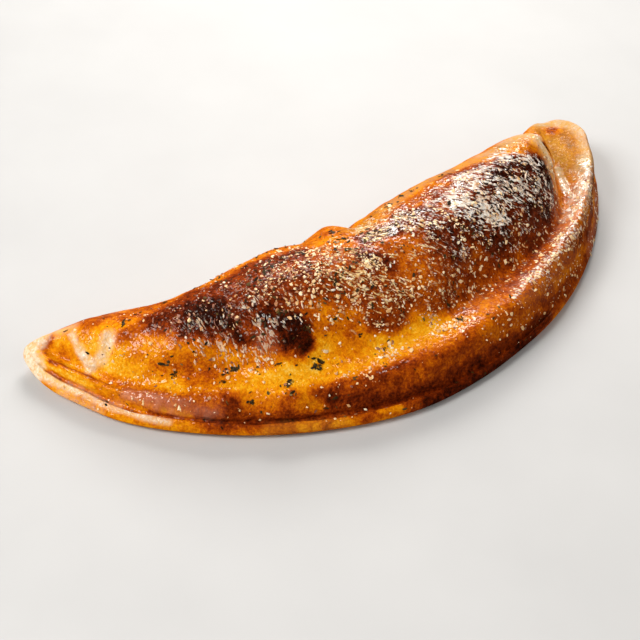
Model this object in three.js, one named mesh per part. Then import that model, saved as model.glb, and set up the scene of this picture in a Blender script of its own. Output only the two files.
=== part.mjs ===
// A whole calzone: a disc of pizza dough folded over its filling and baked.
// The body is one closed half-moon. Its curved front edge is an arc about the
// centre of the dough disc; the thick fold runs along the back. Every
// cross-section is taken along a radius of that disc, at an angle phi from the
// middle of the front edge (negative to the left, positive to the right), and
// runs from the front edge inwards: bottom lip, sealed crease, rolled rim,
// hollow behind the rim, domed top, back fold, flat underside.
// Millimetres, +X along the length, +Y towards the fold, +Z up.

import * as THREE from 'three';

// ---------------------------------------------------------------- sizes

const LEFT_END = -71.1;          // phi of the left nose, degrees
const RIGHT_END = 70.0;          // phi of the right ear's tip
const LEFT_TAPER_FROM = -61.0;   // the ends round off beyond these angles
const RIGHT_TAPER_FROM = 61.5;
const LEFT_TAPER_POWER = 0.62;
const RIGHT_TAPER_POWER = 0.5;
const LEFT_TAPER_SHARE = 0.30;   // part of the rounding taken off the front edge
const RIGHT_TAPER_SHARE = 0.5;
const NOSE_SMOOTHING = 6.5;      // degrees over which the rim lines fade into the left nose

// Sizes that change along the arc, as [phi, millimetres].
const FRONT_RADIUS = [[-72, 184], [-60, 184.2], [-52, 186.3], [-40, 184.6], [-25, 183], [-10, 182.3], [0, 180], [10, 178], [20, 178], [35, 178.6], [48, 180.9], [58, 182.8], [66, 183.1], [72, 179]];
const BACK_RADIUS = [[-72, 152], [-66, 143.8], [-60, 133.5], [-54, 123.5], [-47, 111], [-40, 97.5], [-31, 87], [-18, 80], [0, 77], [20, 79.5], [34, 90], [45, 106.5], [52, 118.5], [60, 133], [66, 140.5], [72, 146]];
const RIDGE_HEIGHT = [[-72, 14.5], [-66, 20.5], [-60, 25.2], [-54, 29.2], [-47, 34.8], [-40, 39.4], [-30, 43.4], [-15, 46], [0, 46.8], [12, 47.2], [25, 49], [38, 49], [44.6, 49], [50.4, 45.5], [55.5, 34.0], [59, 25.6], [62.5, 20.0], [67, 18.2], [72, 17.4]];
const RIDGE_RADIUS = [[-72, 166], [-60, 155], [-50, 145], [-40, 135], [-30, 129], [-15, 122], [0, 119], [15, 119], [30, 124], [45, 137], [52, 143], [57, 145.5], [61, 147], [66, 149.5], [72, 151]];
const UNDERSIDE_LIFT = [[-72, 1.2], [-64, 0.4], [-52, 0], [40, 0], [50, 0.3], [58, 2.0], [66, 4.6], [72, 6.3]];
const LIP_HEIGHT = [[-72, 8.0], [-60, 7.2], [-50, 7.0], [-40, 6.6], [0, 6.6], [20, 6.2], [45, 6.4], [60, 7.4], [72, 8.5]];
const CREASE_INSET = [[-72, 5.5], [-60, 6.0], [-54, 6.0], [-48, 4.6], [-40, 4.0], [-20, 4.2], [-6, 3.8], [6, 2.6], [20, 2.3], [72, 2.4]];
const RIM_HEIGHT = [[-72, 10.8], [-62, 11.3], [-54, 12], [-49, 13.4], [-44, 15.2], [-38, 16.6], [-25, 18.2], [-10, 20], [5, 22], [20, 23.6], [35, 24.6], [50, 24.4], [58, 23], [64, 21], [72, 18]];
const RIM_INSET = [[-72, 8.4], [-62, 8.9], [-54, 9.0], [-49, 10], [-44, 11.4], [-38, 12.6], [-20, 13], [0, 13.4], [20, 13.2], [35, 11.2], [50, 8.8], [60, 7.8], [66, 7.6], [72, 7.4]];
const HOLLOW_DEPTH = [[-72, 0.5], [-64, 1.5], [-54, 1.5], [-49, 0.9], [-44, -0.4], [-38, -1.6], [-20, -1.6], [-6, -0.6], [6, 1.0], [16, 2.6], [26, 4.2], [36, 5.2], [46, 5.6], [55, 6.0], [60, 5.6], [63, 4.4], [66, 2.0], [68, 0.4], [72, 0.0]];
const HOLLOW_INSET = [[-72, 11.6], [-62, 12.2], [-54, 12.6], [-49, 15], [-44, 18.5], [-38, 21], [-20, 23], [0, 25], [10, 25.5], [20, 24], [28, 21], [35, 18.6], [42, 18.4], [48, 20], [55, 21.5], [61, 20.5], [66, 19.5], [72, 18]];
const HOLLOW_FLOOR = [[-72, 2.2], [-50, 2.6], [-38, 4], [20, 4], [35, 2.6], [42, 2.8], [48, 4], [52, 6], [57, 8], [61, 9.5], [66, 9], [72, 6]];

// Swellings (+) and dents (-) in the crust: [phi, inset, half-size along the
// arc in degrees, half-size across in mm, height in mm].
const SWELLINGS = [
  [-13.5, 95, 3.4, 10, 1.6], [-5.0, 94, 3.2, 12, -4.0], [-21.5, 92, 3.5, 12, -1.8], [2.5, 94, 4.0, 12, -1.6],
  [-30.0, 27, 5.0, 8, 2.6], [-43.0, 31, 6.0, 11, 1.2], [-37.5, 21, 2.6, 6, -1.5], [-19.0, 38, 5.0, 10, -1.2],
  [1.0, 36, 6.0, 10, 1.2], [25.0, 33, 9.0, 12, 1.0], [10.0, 31, 3.0, 8, -1.0],
  [-59.3, 19, 1.6, 9, 0.9], [-57.6, 22, 1.2, 9, -0.9], [-56.2, 24, 1.6, 9, 1.0],   // pleats by the left nose
  [-29.0, 9, 2.6, 5, 1.4], [-38.3, 9, 2.4, 4, 1.1], [-34.0, 9, 1.8, 5, -0.9], [-24.0, 10, 2.6, 5, -0.8],
];

// Mesh resolution.
const STATIONS = 88;             // cross-sections along the arc
const TOP_POINTS = 38;           // points over each section, front foot to back foot
const BOTTOM_POINTS = 3;         // points across the flat underside

// ---------------------------------------------------------------- curves

// Smooth curve through [x, y] keys, flat beyond both ends.
function along(keys, at) {
  const last = keys.length - 1;
  const t = Math.min(Math.max(at, keys[0][0]), keys[last][0]);
  let i = 0;
  while (i < last - 1 && t >= keys[i + 1][0]) i++;
  const slope = (k) => {
    const a = keys[Math.max(k - 1, 0)], b = keys[Math.min(k + 1, last)];
    return (b[1] - a[1]) / (b[0] - a[0]);
  };
  const h = keys[i + 1][0] - keys[i][0], s = (t - keys[i][0]) / h;
  return (1 + 2 * s) * (1 - s) ** 2 * keys[i][1] + s * (1 - s) ** 2 * h * slope(i)
    + s * s * (3 - 2 * s) * keys[i + 1][1] - s * s * (1 - s) * h * slope(i + 1);
}

const clamp01 = (v) => Math.min(Math.max(v, 0), 1);
const smooth01 = (v) => { const t = clamp01(v); return t * t * (3 - 2 * t); };

// Share of the full width left at phi, 1 in the body and 0 at both tips.
function taper(phi) {
  if (phi < LEFT_TAPER_FROM) return clamp01(1 - ((LEFT_TAPER_FROM - phi) / (LEFT_TAPER_FROM - LEFT_END)) ** 2) ** LEFT_TAPER_POWER;
  if (phi > RIGHT_TAPER_FROM) return clamp01(1 - ((phi - RIGHT_TAPER_FROM) / (RIGHT_END - RIGHT_TAPER_FROM)) ** 2) ** RIGHT_TAPER_POWER;
  return 1;
}

// Control points of the section at phi, as [inset from the front edge, height].
function controls(phi) {
  const at = (keys) => along(keys, phi);
  const e = taper(phi);
  const fullWidth = at(FRONT_RADIUS) - at(BACK_RADIUS);
  const share = phi < 0 ? LEFT_TAPER_SHARE : RIGHT_TAPER_SHARE;
  const front = at(FRONT_RADIUS) - share * fullWidth * (1 - e);
  const top = at(RIDGE_HEIGHT), lip = at(LIP_HEIGHT), crease = at(CREASE_INSET);
  const rimTop = at(RIM_HEIGHT), rim = at(RIM_INSET), hollow = at(HOLLOW_INSET);
  const floorEnd = hollow + at(HOLLOW_FLOOR);
  const floorZ = Math.min(rimTop - at(HOLLOW_DEPTH), top - 0.5);
  const ridge = at(FRONT_RADIUS) - at(RIDGE_RADIUS);
  const seam = 0.9 - 2.4 * clamp01((phi - 16) / 14);                   // the crease fades out towards the right end
  const points = [
    [2.4, 0],                                                          // front foot
    [0, 0.42 * lip],                                                   // nose of the bottom lip
    [0.55 * crease, lip],                                              // lip top
    [crease, lip - seam],                                              // sealed crease
    [crease + 0.25 * (rim - crease), lip + 0.36 * (rimTop - lip)],     // rim face
    [crease + 0.6 * (rim - crease), lip + 0.84 * (rimTop - lip)],
    [rim, rimTop],                                                     // rim crest
    [hollow, floorZ],                                                  // hollow behind the rim
    [floorEnd, floorZ + 0.06 * (top - floorZ)],
    [floorEnd + 0.38 * (ridge - floorEnd), floorZ + 0.62 * (top - floorZ)],
    [ridge, top],                                                      // top of the dome
    [ridge + 0.58 * (fullWidth - ridge), 0.88 * top],                  // back shoulder
    [fullWidth - 0.10 * top, 0.64 * top],
    [fullWidth, 0.36 * top],                                           // back of the fold
    [fullWidth - 1.8, 0.12 * top],
    [fullWidth - 6, 0],                                                // back foot
  ];
  const keep = smooth01((phi + 71) / NOSE_SMOOTHING);
  const mid = 0.42 * top, lift = at(UNDERSIDE_LIFT);
  for (let i = 2; i < points.length; i++) {
    if (i > 10) break;
    const u = clamp01(points[i][0] / ridge);
    const plain = 0.8 * top * Math.sqrt(clamp01(1 - (1 - u) ** 2)) + 0.2 * points[i][1];
    points[i][1] = plain + (points[i][1] - plain) * keep;
  }
  for (const p of points) {
    p[0] *= e;
    p[1] = lift + mid + (p[1] - mid) * e ** 0.75;
  }
  return { front, width: fullWidth * e, points };
}

// Smooth section through its control points, by distance along them.
function sectionPoints(control, count) {
  const s = [0];
  for (let i = 1; i < control.length; i++) {
    s.push(s[i - 1] + Math.max(Math.hypot(control[i][0] - control[i - 1][0], control[i][1] - control[i - 1][1]), 1e-6));
  }
  const w = control.map((p, i) => [s[i], p[0]]), z = control.map((p, i) => [s[i], p[1]]);
  const out = [];
  for (let i = 0; i < count; i++) {
    const t = s[s.length - 1] * i / (count - 1);
    out.push([along(w, t), along(z, t)]);
  }
  return out;
}

function swelling(phi, inset) {
  let h = 0;
  for (const [p, w, a, b, amount] of SWELLINGS) h += amount * Math.exp(-0.8 * (((phi - p) / a) ** 2 + ((inset - w) / b) ** 2));
  return h;
}

// Closed loop of one section in the plan frame.
function sectionLoop(phi) {
  const { front, width, points } = controls(phi);
  const line = sectionPoints(points, TOP_POINTS);
  const out = line.map(([w, z], i) => {
    const a = line[Math.max(i - 1, 0)], b = line[Math.min(i + 1, line.length - 1)];
    const dw = b[0] - a[0], dz = b[1] - a[1], len = Math.hypot(dw, dz) + 1e-9;
    const h = swelling(phi, w) * clamp01((z - 3) / 5) * clamp01(width / 30);
    return [w - dz / len * h, z + dw / len * h];
  });
  const first = out[0], last = out[out.length - 1];
  for (let i = 1; i <= BOTTOM_POINTS; i++) {
    const t = i / (BOTTOM_POINTS + 1);
    out.push([last[0] + (first[0] - last[0]) * t, last[1] + (first[1] - last[1]) * t]);
  }
  return out.map(([w, z]) => onDisc(phi, front - w, z));
}

const onDisc = (phi, r, z) => {
  const a = THREE.MathUtils.degToRad(phi);
  return new THREE.Vector3(r * Math.sin(a), -r * Math.cos(a), z);
};

function tip(phi) {
  const { front, points } = controls(phi);
  const mean = (k) => points.reduce((sum, p) => sum + p[k], 0) / points.length;
  return onDisc(phi, front - mean(0), mean(1));
}

// ---------------------------------------------------------------- body

function calzoneGeometry() {
  const mid = (LEFT_END + RIGHT_END) / 2, half = (RIGHT_END - LEFT_END) / 2;
  const loops = [];
  for (let i = 1; i <= STATIONS; i++) {
    const q = -1 + 2 * i / (STATIONS + 1);      // sections lie closer together at the ends
    loops.push(sectionLoop(mid + half * (0.6 * Math.sin(Math.PI / 2 * q) + 0.4 * q)));
  }
  const around = TOP_POINTS + BOTTOM_POINTS;
  const points = loops.flat();
  points.push(tip(LEFT_END + 1e-6), tip(RIGHT_END - 1e-6));

  // Origin under the middle of the bounding box, underside on z = 0.
  const box = new THREE.Box3().setFromPoints(points);
  const centre = box.getCenter(new THREE.Vector3());
  for (const p of points) p.sub(new THREE.Vector3(centre.x, centre.y, box.min.z));

  const index = [];
  for (let i = 0; i < STATIONS - 1; i++) {
    for (let j = 0; j < around; j++) {
      const a = i * around + j, b = i * around + (j + 1) % around;
      const c = b + around, d = a + around;
      index.push(a, d, c, a, c, b);
    }
  }
  const left = points.length - 2, right = points.length - 1, lastLoop = (STATIONS - 1) * around;
  for (let j = 0; j < around; j++) {
    index.push(left, j, (j + 1) % around);
    index.push(right, lastLoop + (j + 1) % around, lastLoop + j);
  }
  const geometry = new THREE.BufferGeometry().setFromPoints(points);
  geometry.setIndex(index);
  geometry.computeVertexNormals();
  return geometry;
}

const crust = new THREE.MeshStandardMaterial({ color: 0xb5661f, roughness: 0.4, metalness: 0 });
const calzone = new THREE.Mesh(calzoneGeometry(), crust);
calzone.name = 'calzone';

const model = new THREE.Group();
model.add(calzone);

export default model;
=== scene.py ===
import bpy
import math
import numpy as np
from mathutils import Matrix, Vector


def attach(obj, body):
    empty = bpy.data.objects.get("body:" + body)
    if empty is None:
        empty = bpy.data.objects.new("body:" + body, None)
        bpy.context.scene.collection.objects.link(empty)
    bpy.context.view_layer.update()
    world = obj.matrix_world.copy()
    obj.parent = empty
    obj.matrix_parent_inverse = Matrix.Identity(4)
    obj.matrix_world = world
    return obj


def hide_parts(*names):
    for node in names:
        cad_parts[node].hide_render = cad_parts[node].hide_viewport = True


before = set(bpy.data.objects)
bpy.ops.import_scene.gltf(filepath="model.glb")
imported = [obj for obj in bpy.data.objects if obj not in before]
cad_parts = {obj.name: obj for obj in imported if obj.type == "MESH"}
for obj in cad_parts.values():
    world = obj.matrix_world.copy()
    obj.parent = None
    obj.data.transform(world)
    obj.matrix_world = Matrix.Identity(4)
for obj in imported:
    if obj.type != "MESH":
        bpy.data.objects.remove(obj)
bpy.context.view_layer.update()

# ------------------------------------------------------------------ shape, in millimetres
# The calzone is a folded round sheet. A point of it is (phi, t): phi is the angle round the sheet's centre, in degrees,
# from the left end to the right end, and t runs over the section there, from 0 under the front lip to 1 under the back.
CX, CY = 28.5, 91.0              # the sheet's centre before the shift below
SHIFT_X, SHIFT_Y, SHIFT_Z = 27.15225, -26.62029, -0.078
PHI_L, PHI_R = -71.1, 70.0
PHI_L0, PHI_R0 = -61.0, 61.5
POW_L, POW_R = 0.62, 0.5
SIDE_L, SIDE_R = 0.30, 0.5
KEYS = dict(
    R_FRONT=[(-72, 184), (-60, 184.2), (-52, 186.3), (-40, 184.6), (-25, 183), (-10, 182.3), (0, 180), (10, 178), (20, 178), (35, 178.6), (48, 180.9), (58, 182.8), (66, 183.1), (72, 179)],
    R_BACK=[(-72, 152), (-66, 143.8), (-60, 133.5), (-54, 123.5), (-47, 111), (-40, 97.5), (-31, 87), (-18, 80), (0, 77), (20, 79.5), (34, 90), (45, 106.5), (52, 118.5), (60, 133), (66, 140.5), (72, 146)],
    RIDGE_H=[(-72, 14.5), (-66, 20.5), (-60, 25.2), (-54, 29.2), (-47, 34.8), (-40, 39.4), (-30, 43.4), (-15, 46), (0, 46.8), (12, 47.2), (25, 49), (38, 49), (44.6, 49), (50.4, 45.5), (55.5, 34.0), (59, 25.6), (62.5, 20.0), (67, 18.2), (72, 17.4)],
    RIDGE_R=[(-72, 166), (-60, 155), (-50, 145), (-40, 135), (-30, 129), (-15, 122), (0, 119), (15, 119), (30, 124), (45, 137), (52, 143), (57, 145.5), (61, 147), (66, 149.5), (72, 151)],
    LIFT=[(-72, 1.2), (-64, 0.4), (-52, 0), (40, 0), (50, 0.3), (58, 2.0), (66, 4.6), (72, 6.3)],
    LIP_H=[(-72, 8.0), (-60, 7.2), (-50, 7.0), (-40, 6.6), (0, 6.6), (20, 6.2), (45, 6.4), (60, 7.4), (72, 8.5)],
    CREASE_W=[(-72, 5.5), (-60, 6.0), (-54, 6.0), (-48, 4.6), (-40, 4.0), (-20, 4.2), (-6, 3.8), (6, 2.6), (20, 2.3), (72, 2.4)],
    ROLL_H=[(-72, 10.8), (-62, 11.3), (-54, 12), (-49, 13.4), (-44, 15.2), (-38, 16.6), (-25, 18.2), (-10, 20), (5, 22), (20, 23.6), (35, 24.6), (50, 24.4), (58, 23), (64, 21), (72, 18)],
    ROLL_W=[(-72, 8.4), (-62, 8.9), (-54, 9.0), (-49, 10), (-44, 11.4), (-38, 12.6), (-20, 13), (0, 13.4), (20, 13.2), (35, 11.2), (50, 8.8), (60, 7.8), (66, 7.6), (72, 7.4)],
    VAL_DROP=[(-72, 0.5), (-64, 1.5), (-54, 1.5), (-49, 0.9), (-44, -0.4), (-38, -1.6), (-20, -1.6), (-6, -0.6), (6, 1.0), (16, 2.6), (26, 4.2), (36, 5.2), (46, 5.6), (55, 6.0), (60, 5.6), (63, 4.4), (66, 2.0), (68, 0.4), (72, 0.0)],
    VAL_W=[(-72, 11.6), (-62, 12.2), (-54, 12.6), (-49, 15), (-44, 18.5), (-38, 21), (-20, 23), (0, 25), (10, 25.5), (20, 24), (28, 21), (35, 18.6), (42, 18.4), (48, 20), (55, 21.5), (61, 20.5), (66, 19.5), (72, 18)],
    CRE2_W=[(-72, 2.2), (-50, 2.6), (-38, 4), (20, 4), (35, 2.6), (42, 2.8), (48, 4), (52, 6), (57, 8), (61, 9.5), (66, 9), (72, 6)],
)
# swellings (+) and hollows (-): phi, inset w, half-size in degrees, half-size in w, height
SWELLS = [
    (-13.5, 95, 3.4, 10, 1.6), (-5.0, 94, 3.2, 12, -4.0), (-21.5, 92, 3.5, 12, -1.8), (2.5, 94, 4.0, 12, -1.6),
    (-30.0, 27, 5.0, 8, 2.6), (-43.0, 31, 6.0, 11, 1.2), (-37.5, 21, 2.6, 6, -1.5), (-19.0, 38, 5.0, 10, -1.2),
    (1.0, 36, 6.0, 10, 1.2), (25.0, 33, 9.0, 12, 1.0), (10.0, 31, 3.0, 8, -1.0),
    (-59.3, 19, 1.6, 9, 0.9), (-57.6, 22, 1.2, 9, -0.9), (-56.2, 24, 1.6, 9, 1.0),
    (-29.0, 9, 2.6, 5, 1.4), (-38.3, 9, 2.4, 4, 1.1), (-34.0, 9, 1.8, 5, -0.9), (-24.0, 10, 2.6, 5, -0.8),
]
N_PHI, N_TOP, N_BOT = 500, 184, 8


def smooth_keys(keys, t):
    k = np.array(keys, float)
    X, Y = k[:, 0], k[:, 1]
    t = np.clip(np.asarray(t, float), X[0], X[-1])
    m = np.zeros(len(X))
    m[1:-1] = (Y[2:] - Y[:-2]) / (X[2:] - X[:-2])
    m[0] = (Y[1] - Y[0]) / (X[1] - X[0])
    m[-1] = (Y[-1] - Y[-2]) / (X[-1] - X[-2])
    i = np.clip(np.searchsorted(X, t, side="right") - 1, 0, len(X) - 2)
    h = X[i + 1] - X[i]
    s = (t - X[i]) / h
    return (
        (1 + 2 * s) * (1 - s) ** 2 * Y[i]
        + s * (1 - s) ** 2 * h * m[i]
        + s * s * (3 - 2 * s) * Y[i + 1]
        - s * s * (1 - s) * h * m[i + 1]
    )


def taper(phi):
    e = np.ones_like(phi)
    a = phi < PHI_L0
    e[a] = np.clip(1 - ((PHI_L0 - phi[a]) / (PHI_L0 - PHI_L)) ** 2, 0, 1) ** POW_L
    b = phi > PHI_R0
    e[b] = np.clip(1 - ((phi[b] - PHI_R0) / (PHI_R - PHI_R0)) ** 2, 0, 1) ** POW_R
    return e


def controls(phi):
    """The section's control points (w inwards from the front edge, z up) at each phi, with the front radius and the depth."""
    phi = np.atleast_1d(np.asarray(phi, float))
    K = {k: smooth_keys(v, phi) for k, v in KEYS.items()}
    e = taper(phi)
    rf0, rb0, H, zl = K["R_FRONT"], K["R_BACK"], K["RIDGE_H"], K["LIP_H"]
    W0 = rf0 - rb0
    rf, W = rf0 - np.where(phi < 0, SIDE_L, SIDE_R) * W0 * (1 - e), W0 * e
    wc, rh, rw, vw = K["CREASE_W"], K["ROLL_H"], K["ROLL_W"], K["VAL_W"]
    wH = rf0 - K["RIDGE_R"]
    zv = np.minimum(rh - K["VAL_DROP"], H - 0.5)
    v2 = vw + K["CRE2_W"]
    one = np.ones_like(phi)
    w = np.stack([2.4 * one, 0 * one, 0.55 * wc, wc, wc + 0.25 * (rw - wc), wc + 0.6 * (rw - wc), rw, vw, v2, v2 + (wH - v2) * 0.38, wH, wH + (W0 - wH) * 0.58, W0 - 0.10 * H, W0, W0 - 1.8, W0 - 6.0], 1)
    seam = 0.9 - 2.4 * np.clip((phi - 16) / 14, 0, 1)      # the crease over the lip fades out towards the right end
    z = np.stack([0 * one, 0.42 * zl, zl, zl - seam, zl + 0.36 * (rh - zl), zl + 0.84 * (rh - zl), rh, zv, zv + 0.06 * (H - zv), zv + (H - zv) * 0.62, H, H * 0.88, H * 0.64, H * 0.36, H * 0.12, 0 * one], 1)
    # the left nose is smooth: its rim lines fade out
    t = np.clip((phi + 71.0) / 6.5, 0, 1)
    t = (t * t * (3 - 2 * t))[:, None]
    u = np.clip(w / wH[:, None], 0, 1)
    zs = np.where(np.arange(16)[None, :] < 11, H[:, None] * np.sqrt(np.clip(1 - (1 - u) ** 2, 0, 1)) * 0.8 + 0.2 * z, z)
    zs[:, 0] = 0
    zs[:, 1] = z[:, 1]
    z = zs + (z - zs) * t
    k = (W / W0)[:, None]
    hmid = 0.42 * H
    z = K["LIFT"][:, None] + hmid[:, None] + (z - hmid[:, None]) * (k ** 0.75)
    return w * k, z, rf, W


def section(wc, zc, share):
    s = np.r_[0, np.cumsum(np.maximum(np.hypot(np.diff(wc), np.diff(zc)), 1e-6))]
    return smooth_keys(np.c_[s, wc], share * s[-1]), smooth_keys(np.c_[s, zc], share * s[-1])


def swell(phi, w):
    h = np.zeros_like(w)
    for p, q, a, b, amp in SWELLS:
        h += amp * np.exp(-0.8 * (((phi - p) / a) ** 2 + ((w - q) / b) ** 2))
    return h


def stations(n):
    q = np.linspace(-1, 1, n + 2)[1:-1]
    return (PHI_L + PHI_R) / 2 + (PHI_R - PHI_L) / 2 * (np.sin(np.pi / 2 * q) * 0.6 + 0.4 * q)


def plan(phi, r, z):
    a = np.radians(phi)
    return np.stack([CX + r * np.sin(a) - SHIFT_X, CY - r * np.cos(a) - SHIFT_Y, z - SHIFT_Z], -1)


def section_points(phi, share, wz=None):
    """The top of the section at one phi: points in the row frame, with the foot-to-foot line left open."""
    w, z, rf, W = wz if wz is not None else [v[0] for v in controls([phi])]
    ws, zs = section(w, z, share)
    dw, dz = np.gradient(ws), np.gradient(zs)
    L = np.hypot(dw, dz) + 1e-9
    h = swell(phi, ws) * np.clip((zs - 3) / 5, 0, 1) * np.clip(W / 30, 0, 1)
    return ws - dz / L * h, zs + dw / L * h, rf


# ------------------------------------------------------------------ the grid of the crust
# Points lie closer together across the lip and its crease, where the section turns most.
_f = np.linspace(0, 1, 2001)
_dens = 1 + 1.3 * np.exp(-((_f - 0.05) / 0.075) ** 2)
_cum = np.r_[0, np.cumsum((_dens[1:] + _dens[:-1]) / 2)]
SHARE = np.interp(np.linspace(0, 1, N_TOP), _cum / _cum[-1], _f)
PHI = stations(N_PHI)
_w, _z, _rf, _W = controls(PHI)
grid = np.zeros((N_PHI, N_TOP + N_BOT, 3))
inset = np.zeros((N_PHI, N_TOP + N_BOT))
for i, p in enumerate(PHI):
    ws, zs, rf = section_points(p, SHARE, (_w[i], _z[i], _rf[i], _W[i]))
    b = np.linspace(0, 1, N_BOT + 2)[1:-1]
    ws = np.r_[ws, ws[-1] + (ws[0] - ws[-1]) * b]
    zs = np.r_[zs, zs[-1] + (zs[0] - zs[-1]) * b]
    grid[i] = plan(p, rf - ws, zs)
    inset[i] = ws


def normals_of(g):
    du = np.gradient(g, axis=0)
    ring = np.concatenate([g[:, -1:], g, g[:, :1]], 1)
    dv = (ring[:, 2:] - ring[:, :-2]) / 2
    n = np.cross(du, dv)
    n /= np.linalg.norm(n, axis=2)[..., None] + 1e-12
    if n[N_PHI // 2, N_TOP // 2, 2] < 0:
        n = -n
    return n


NRM = normals_of(grid)
ROWS, COLS = grid.shape[:2]
P0 = grid.reshape(-1, 3).copy()          # the smooth surface, in millimetres
N0 = NRM.reshape(-1, 3)
T0 = np.tile(np.r_[SHARE, np.full(N_BOT, 1.0)], ROWS)
F0 = np.repeat(PHI, COLS)
BOTTOM = np.tile(np.r_[np.zeros(N_TOP), np.ones(N_BOT)], ROWS) > 0.5


def on_surface(phi, t):
    """Points of the smooth surface at (phi, t) pairs, by interpolation in the grid."""
    i = np.interp(phi, PHI, np.arange(ROWS))
    j = np.interp(t, SHARE, np.arange(N_TOP))
    i0, j0 = np.clip(i.astype(int), 0, ROWS - 2), np.clip(j.astype(int), 0, N_TOP - 2)
    a, b = (i - i0)[:, None], (j - j0)[:, None]
    return (
        grid[i0, j0] * (1 - a) * (1 - b) + grid[i0 + 1, j0] * a * (1 - b)
        + grid[i0, j0 + 1] * (1 - a) * b + grid[i0 + 1, j0 + 1] * a * b
    )


# ------------------------------------------------------------------ noise
def lattice_noise(P, seed):
    """Gradient noise, about -1 to 1, at points P in lattice units."""
    rng = np.random.default_rng(seed)
    perm = rng.permutation(512)
    grad = rng.normal(size=(512, 3))
    grad /= np.linalg.norm(grad, axis=1)[:, None]
    q = np.floor(P).astype(np.int64)
    f = P - q
    u = f * f * f * (f * (f * 6 - 15) + 10)
    total = np.zeros(len(P))
    for dx in (0, 1):
        for dy in (0, 1):
            for dz in (0, 1):
                h = perm[(perm[(perm[(q[:, 0] + dx) & 511] + q[:, 1] + dy) & 511] + q[:, 2] + dz) & 511]
                g = grad[h]
                d = g[:, 0] * (f[:, 0] - dx) + g[:, 1] * (f[:, 1] - dy) + g[:, 2] * (f[:, 2] - dz)
                wt = (u[:, 0] if dx else 1 - u[:, 0]) * (u[:, 1] if dy else 1 - u[:, 1]) * (u[:, 2] if dz else 1 - u[:, 2])
                total += wt * d
    return total * 1.6


def fbm(P, size, octaves=3, seed=0, gain=0.5):
    out, amp = np.zeros(len(P)), 1.0
    for k in range(octaves):
        out += amp * lattice_noise(P / size * 2 ** k + 17.3 * k, seed + k)
        amp *= gain
    return out


rough_wide = fbm(P0, 22, 3, 11)
rough_fine = fbm(P0, 7, 3, 23)


# ------------------------------------------------------------------ strokes painted on the surface
def route(pts, step=2.0):
    """The stroke's points, close together on the surface."""
    pts = np.array(pts, float)
    if len(pts) == 1:
        return on_surface(pts[:, 0], pts[:, 1])
    out = []
    for a, b in zip(pts[:-1], pts[1:]):
        ends = on_surface(np.array([a[0], b[0]]), np.array([a[1], b[1]]))
        n = max(2, int(np.linalg.norm(ends[1] - ends[0]) / step) + 1)
        k = np.linspace(0, 1, n + 1)[:-1, None]
        out.append(a + (b - a) * k)
    out = np.vstack(out + [pts[-1:]])
    return on_surface(out[:, 0], out[:, 1])


def distance(path, reach):
    """Each surface point's distance to the path, in millimetres, where it is under reach, else reach."""
    d = np.full(len(P0), float(reach))
    lo, hi = path.min(0) - reach, path.max(0) + reach
    near = np.where(((P0 > lo) & (P0 < hi)).all(1))[0]
    if not len(near):
        return d
    q = P0[near]
    best = np.full(len(near), float(reach))
    if len(path) == 1:
        best = np.minimum(best, np.linalg.norm(q - path[0], axis=1))
    for a, b in zip(path[:-1], path[1:]):
        ab = b - a
        k = np.clip(((q - a) @ ab) / max(ab @ ab, 1e-9), 0, 1)
        best = np.minimum(best, np.linalg.norm(q - a - k[:, None] * ab, axis=1))
    d[near] = best
    return d


def mask(radius, soft, ragged, pts):
    """1 on the stroke, falling to 0 round its edge. soft is the edge's half width as a share of the radius."""
    path = route(pts)
    d = distance(path, radius * (1 + soft) + 6 * ragged + 1)
    d = d + ragged * (rough_wide * radius * 0.30 + rough_fine * min(radius, 5.0) * 0.32)
    x = np.clip((radius * (1 + soft) - d) / (2 * soft * radius), 0, 1)
    return x * x * (3 - 2 * x)


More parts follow.
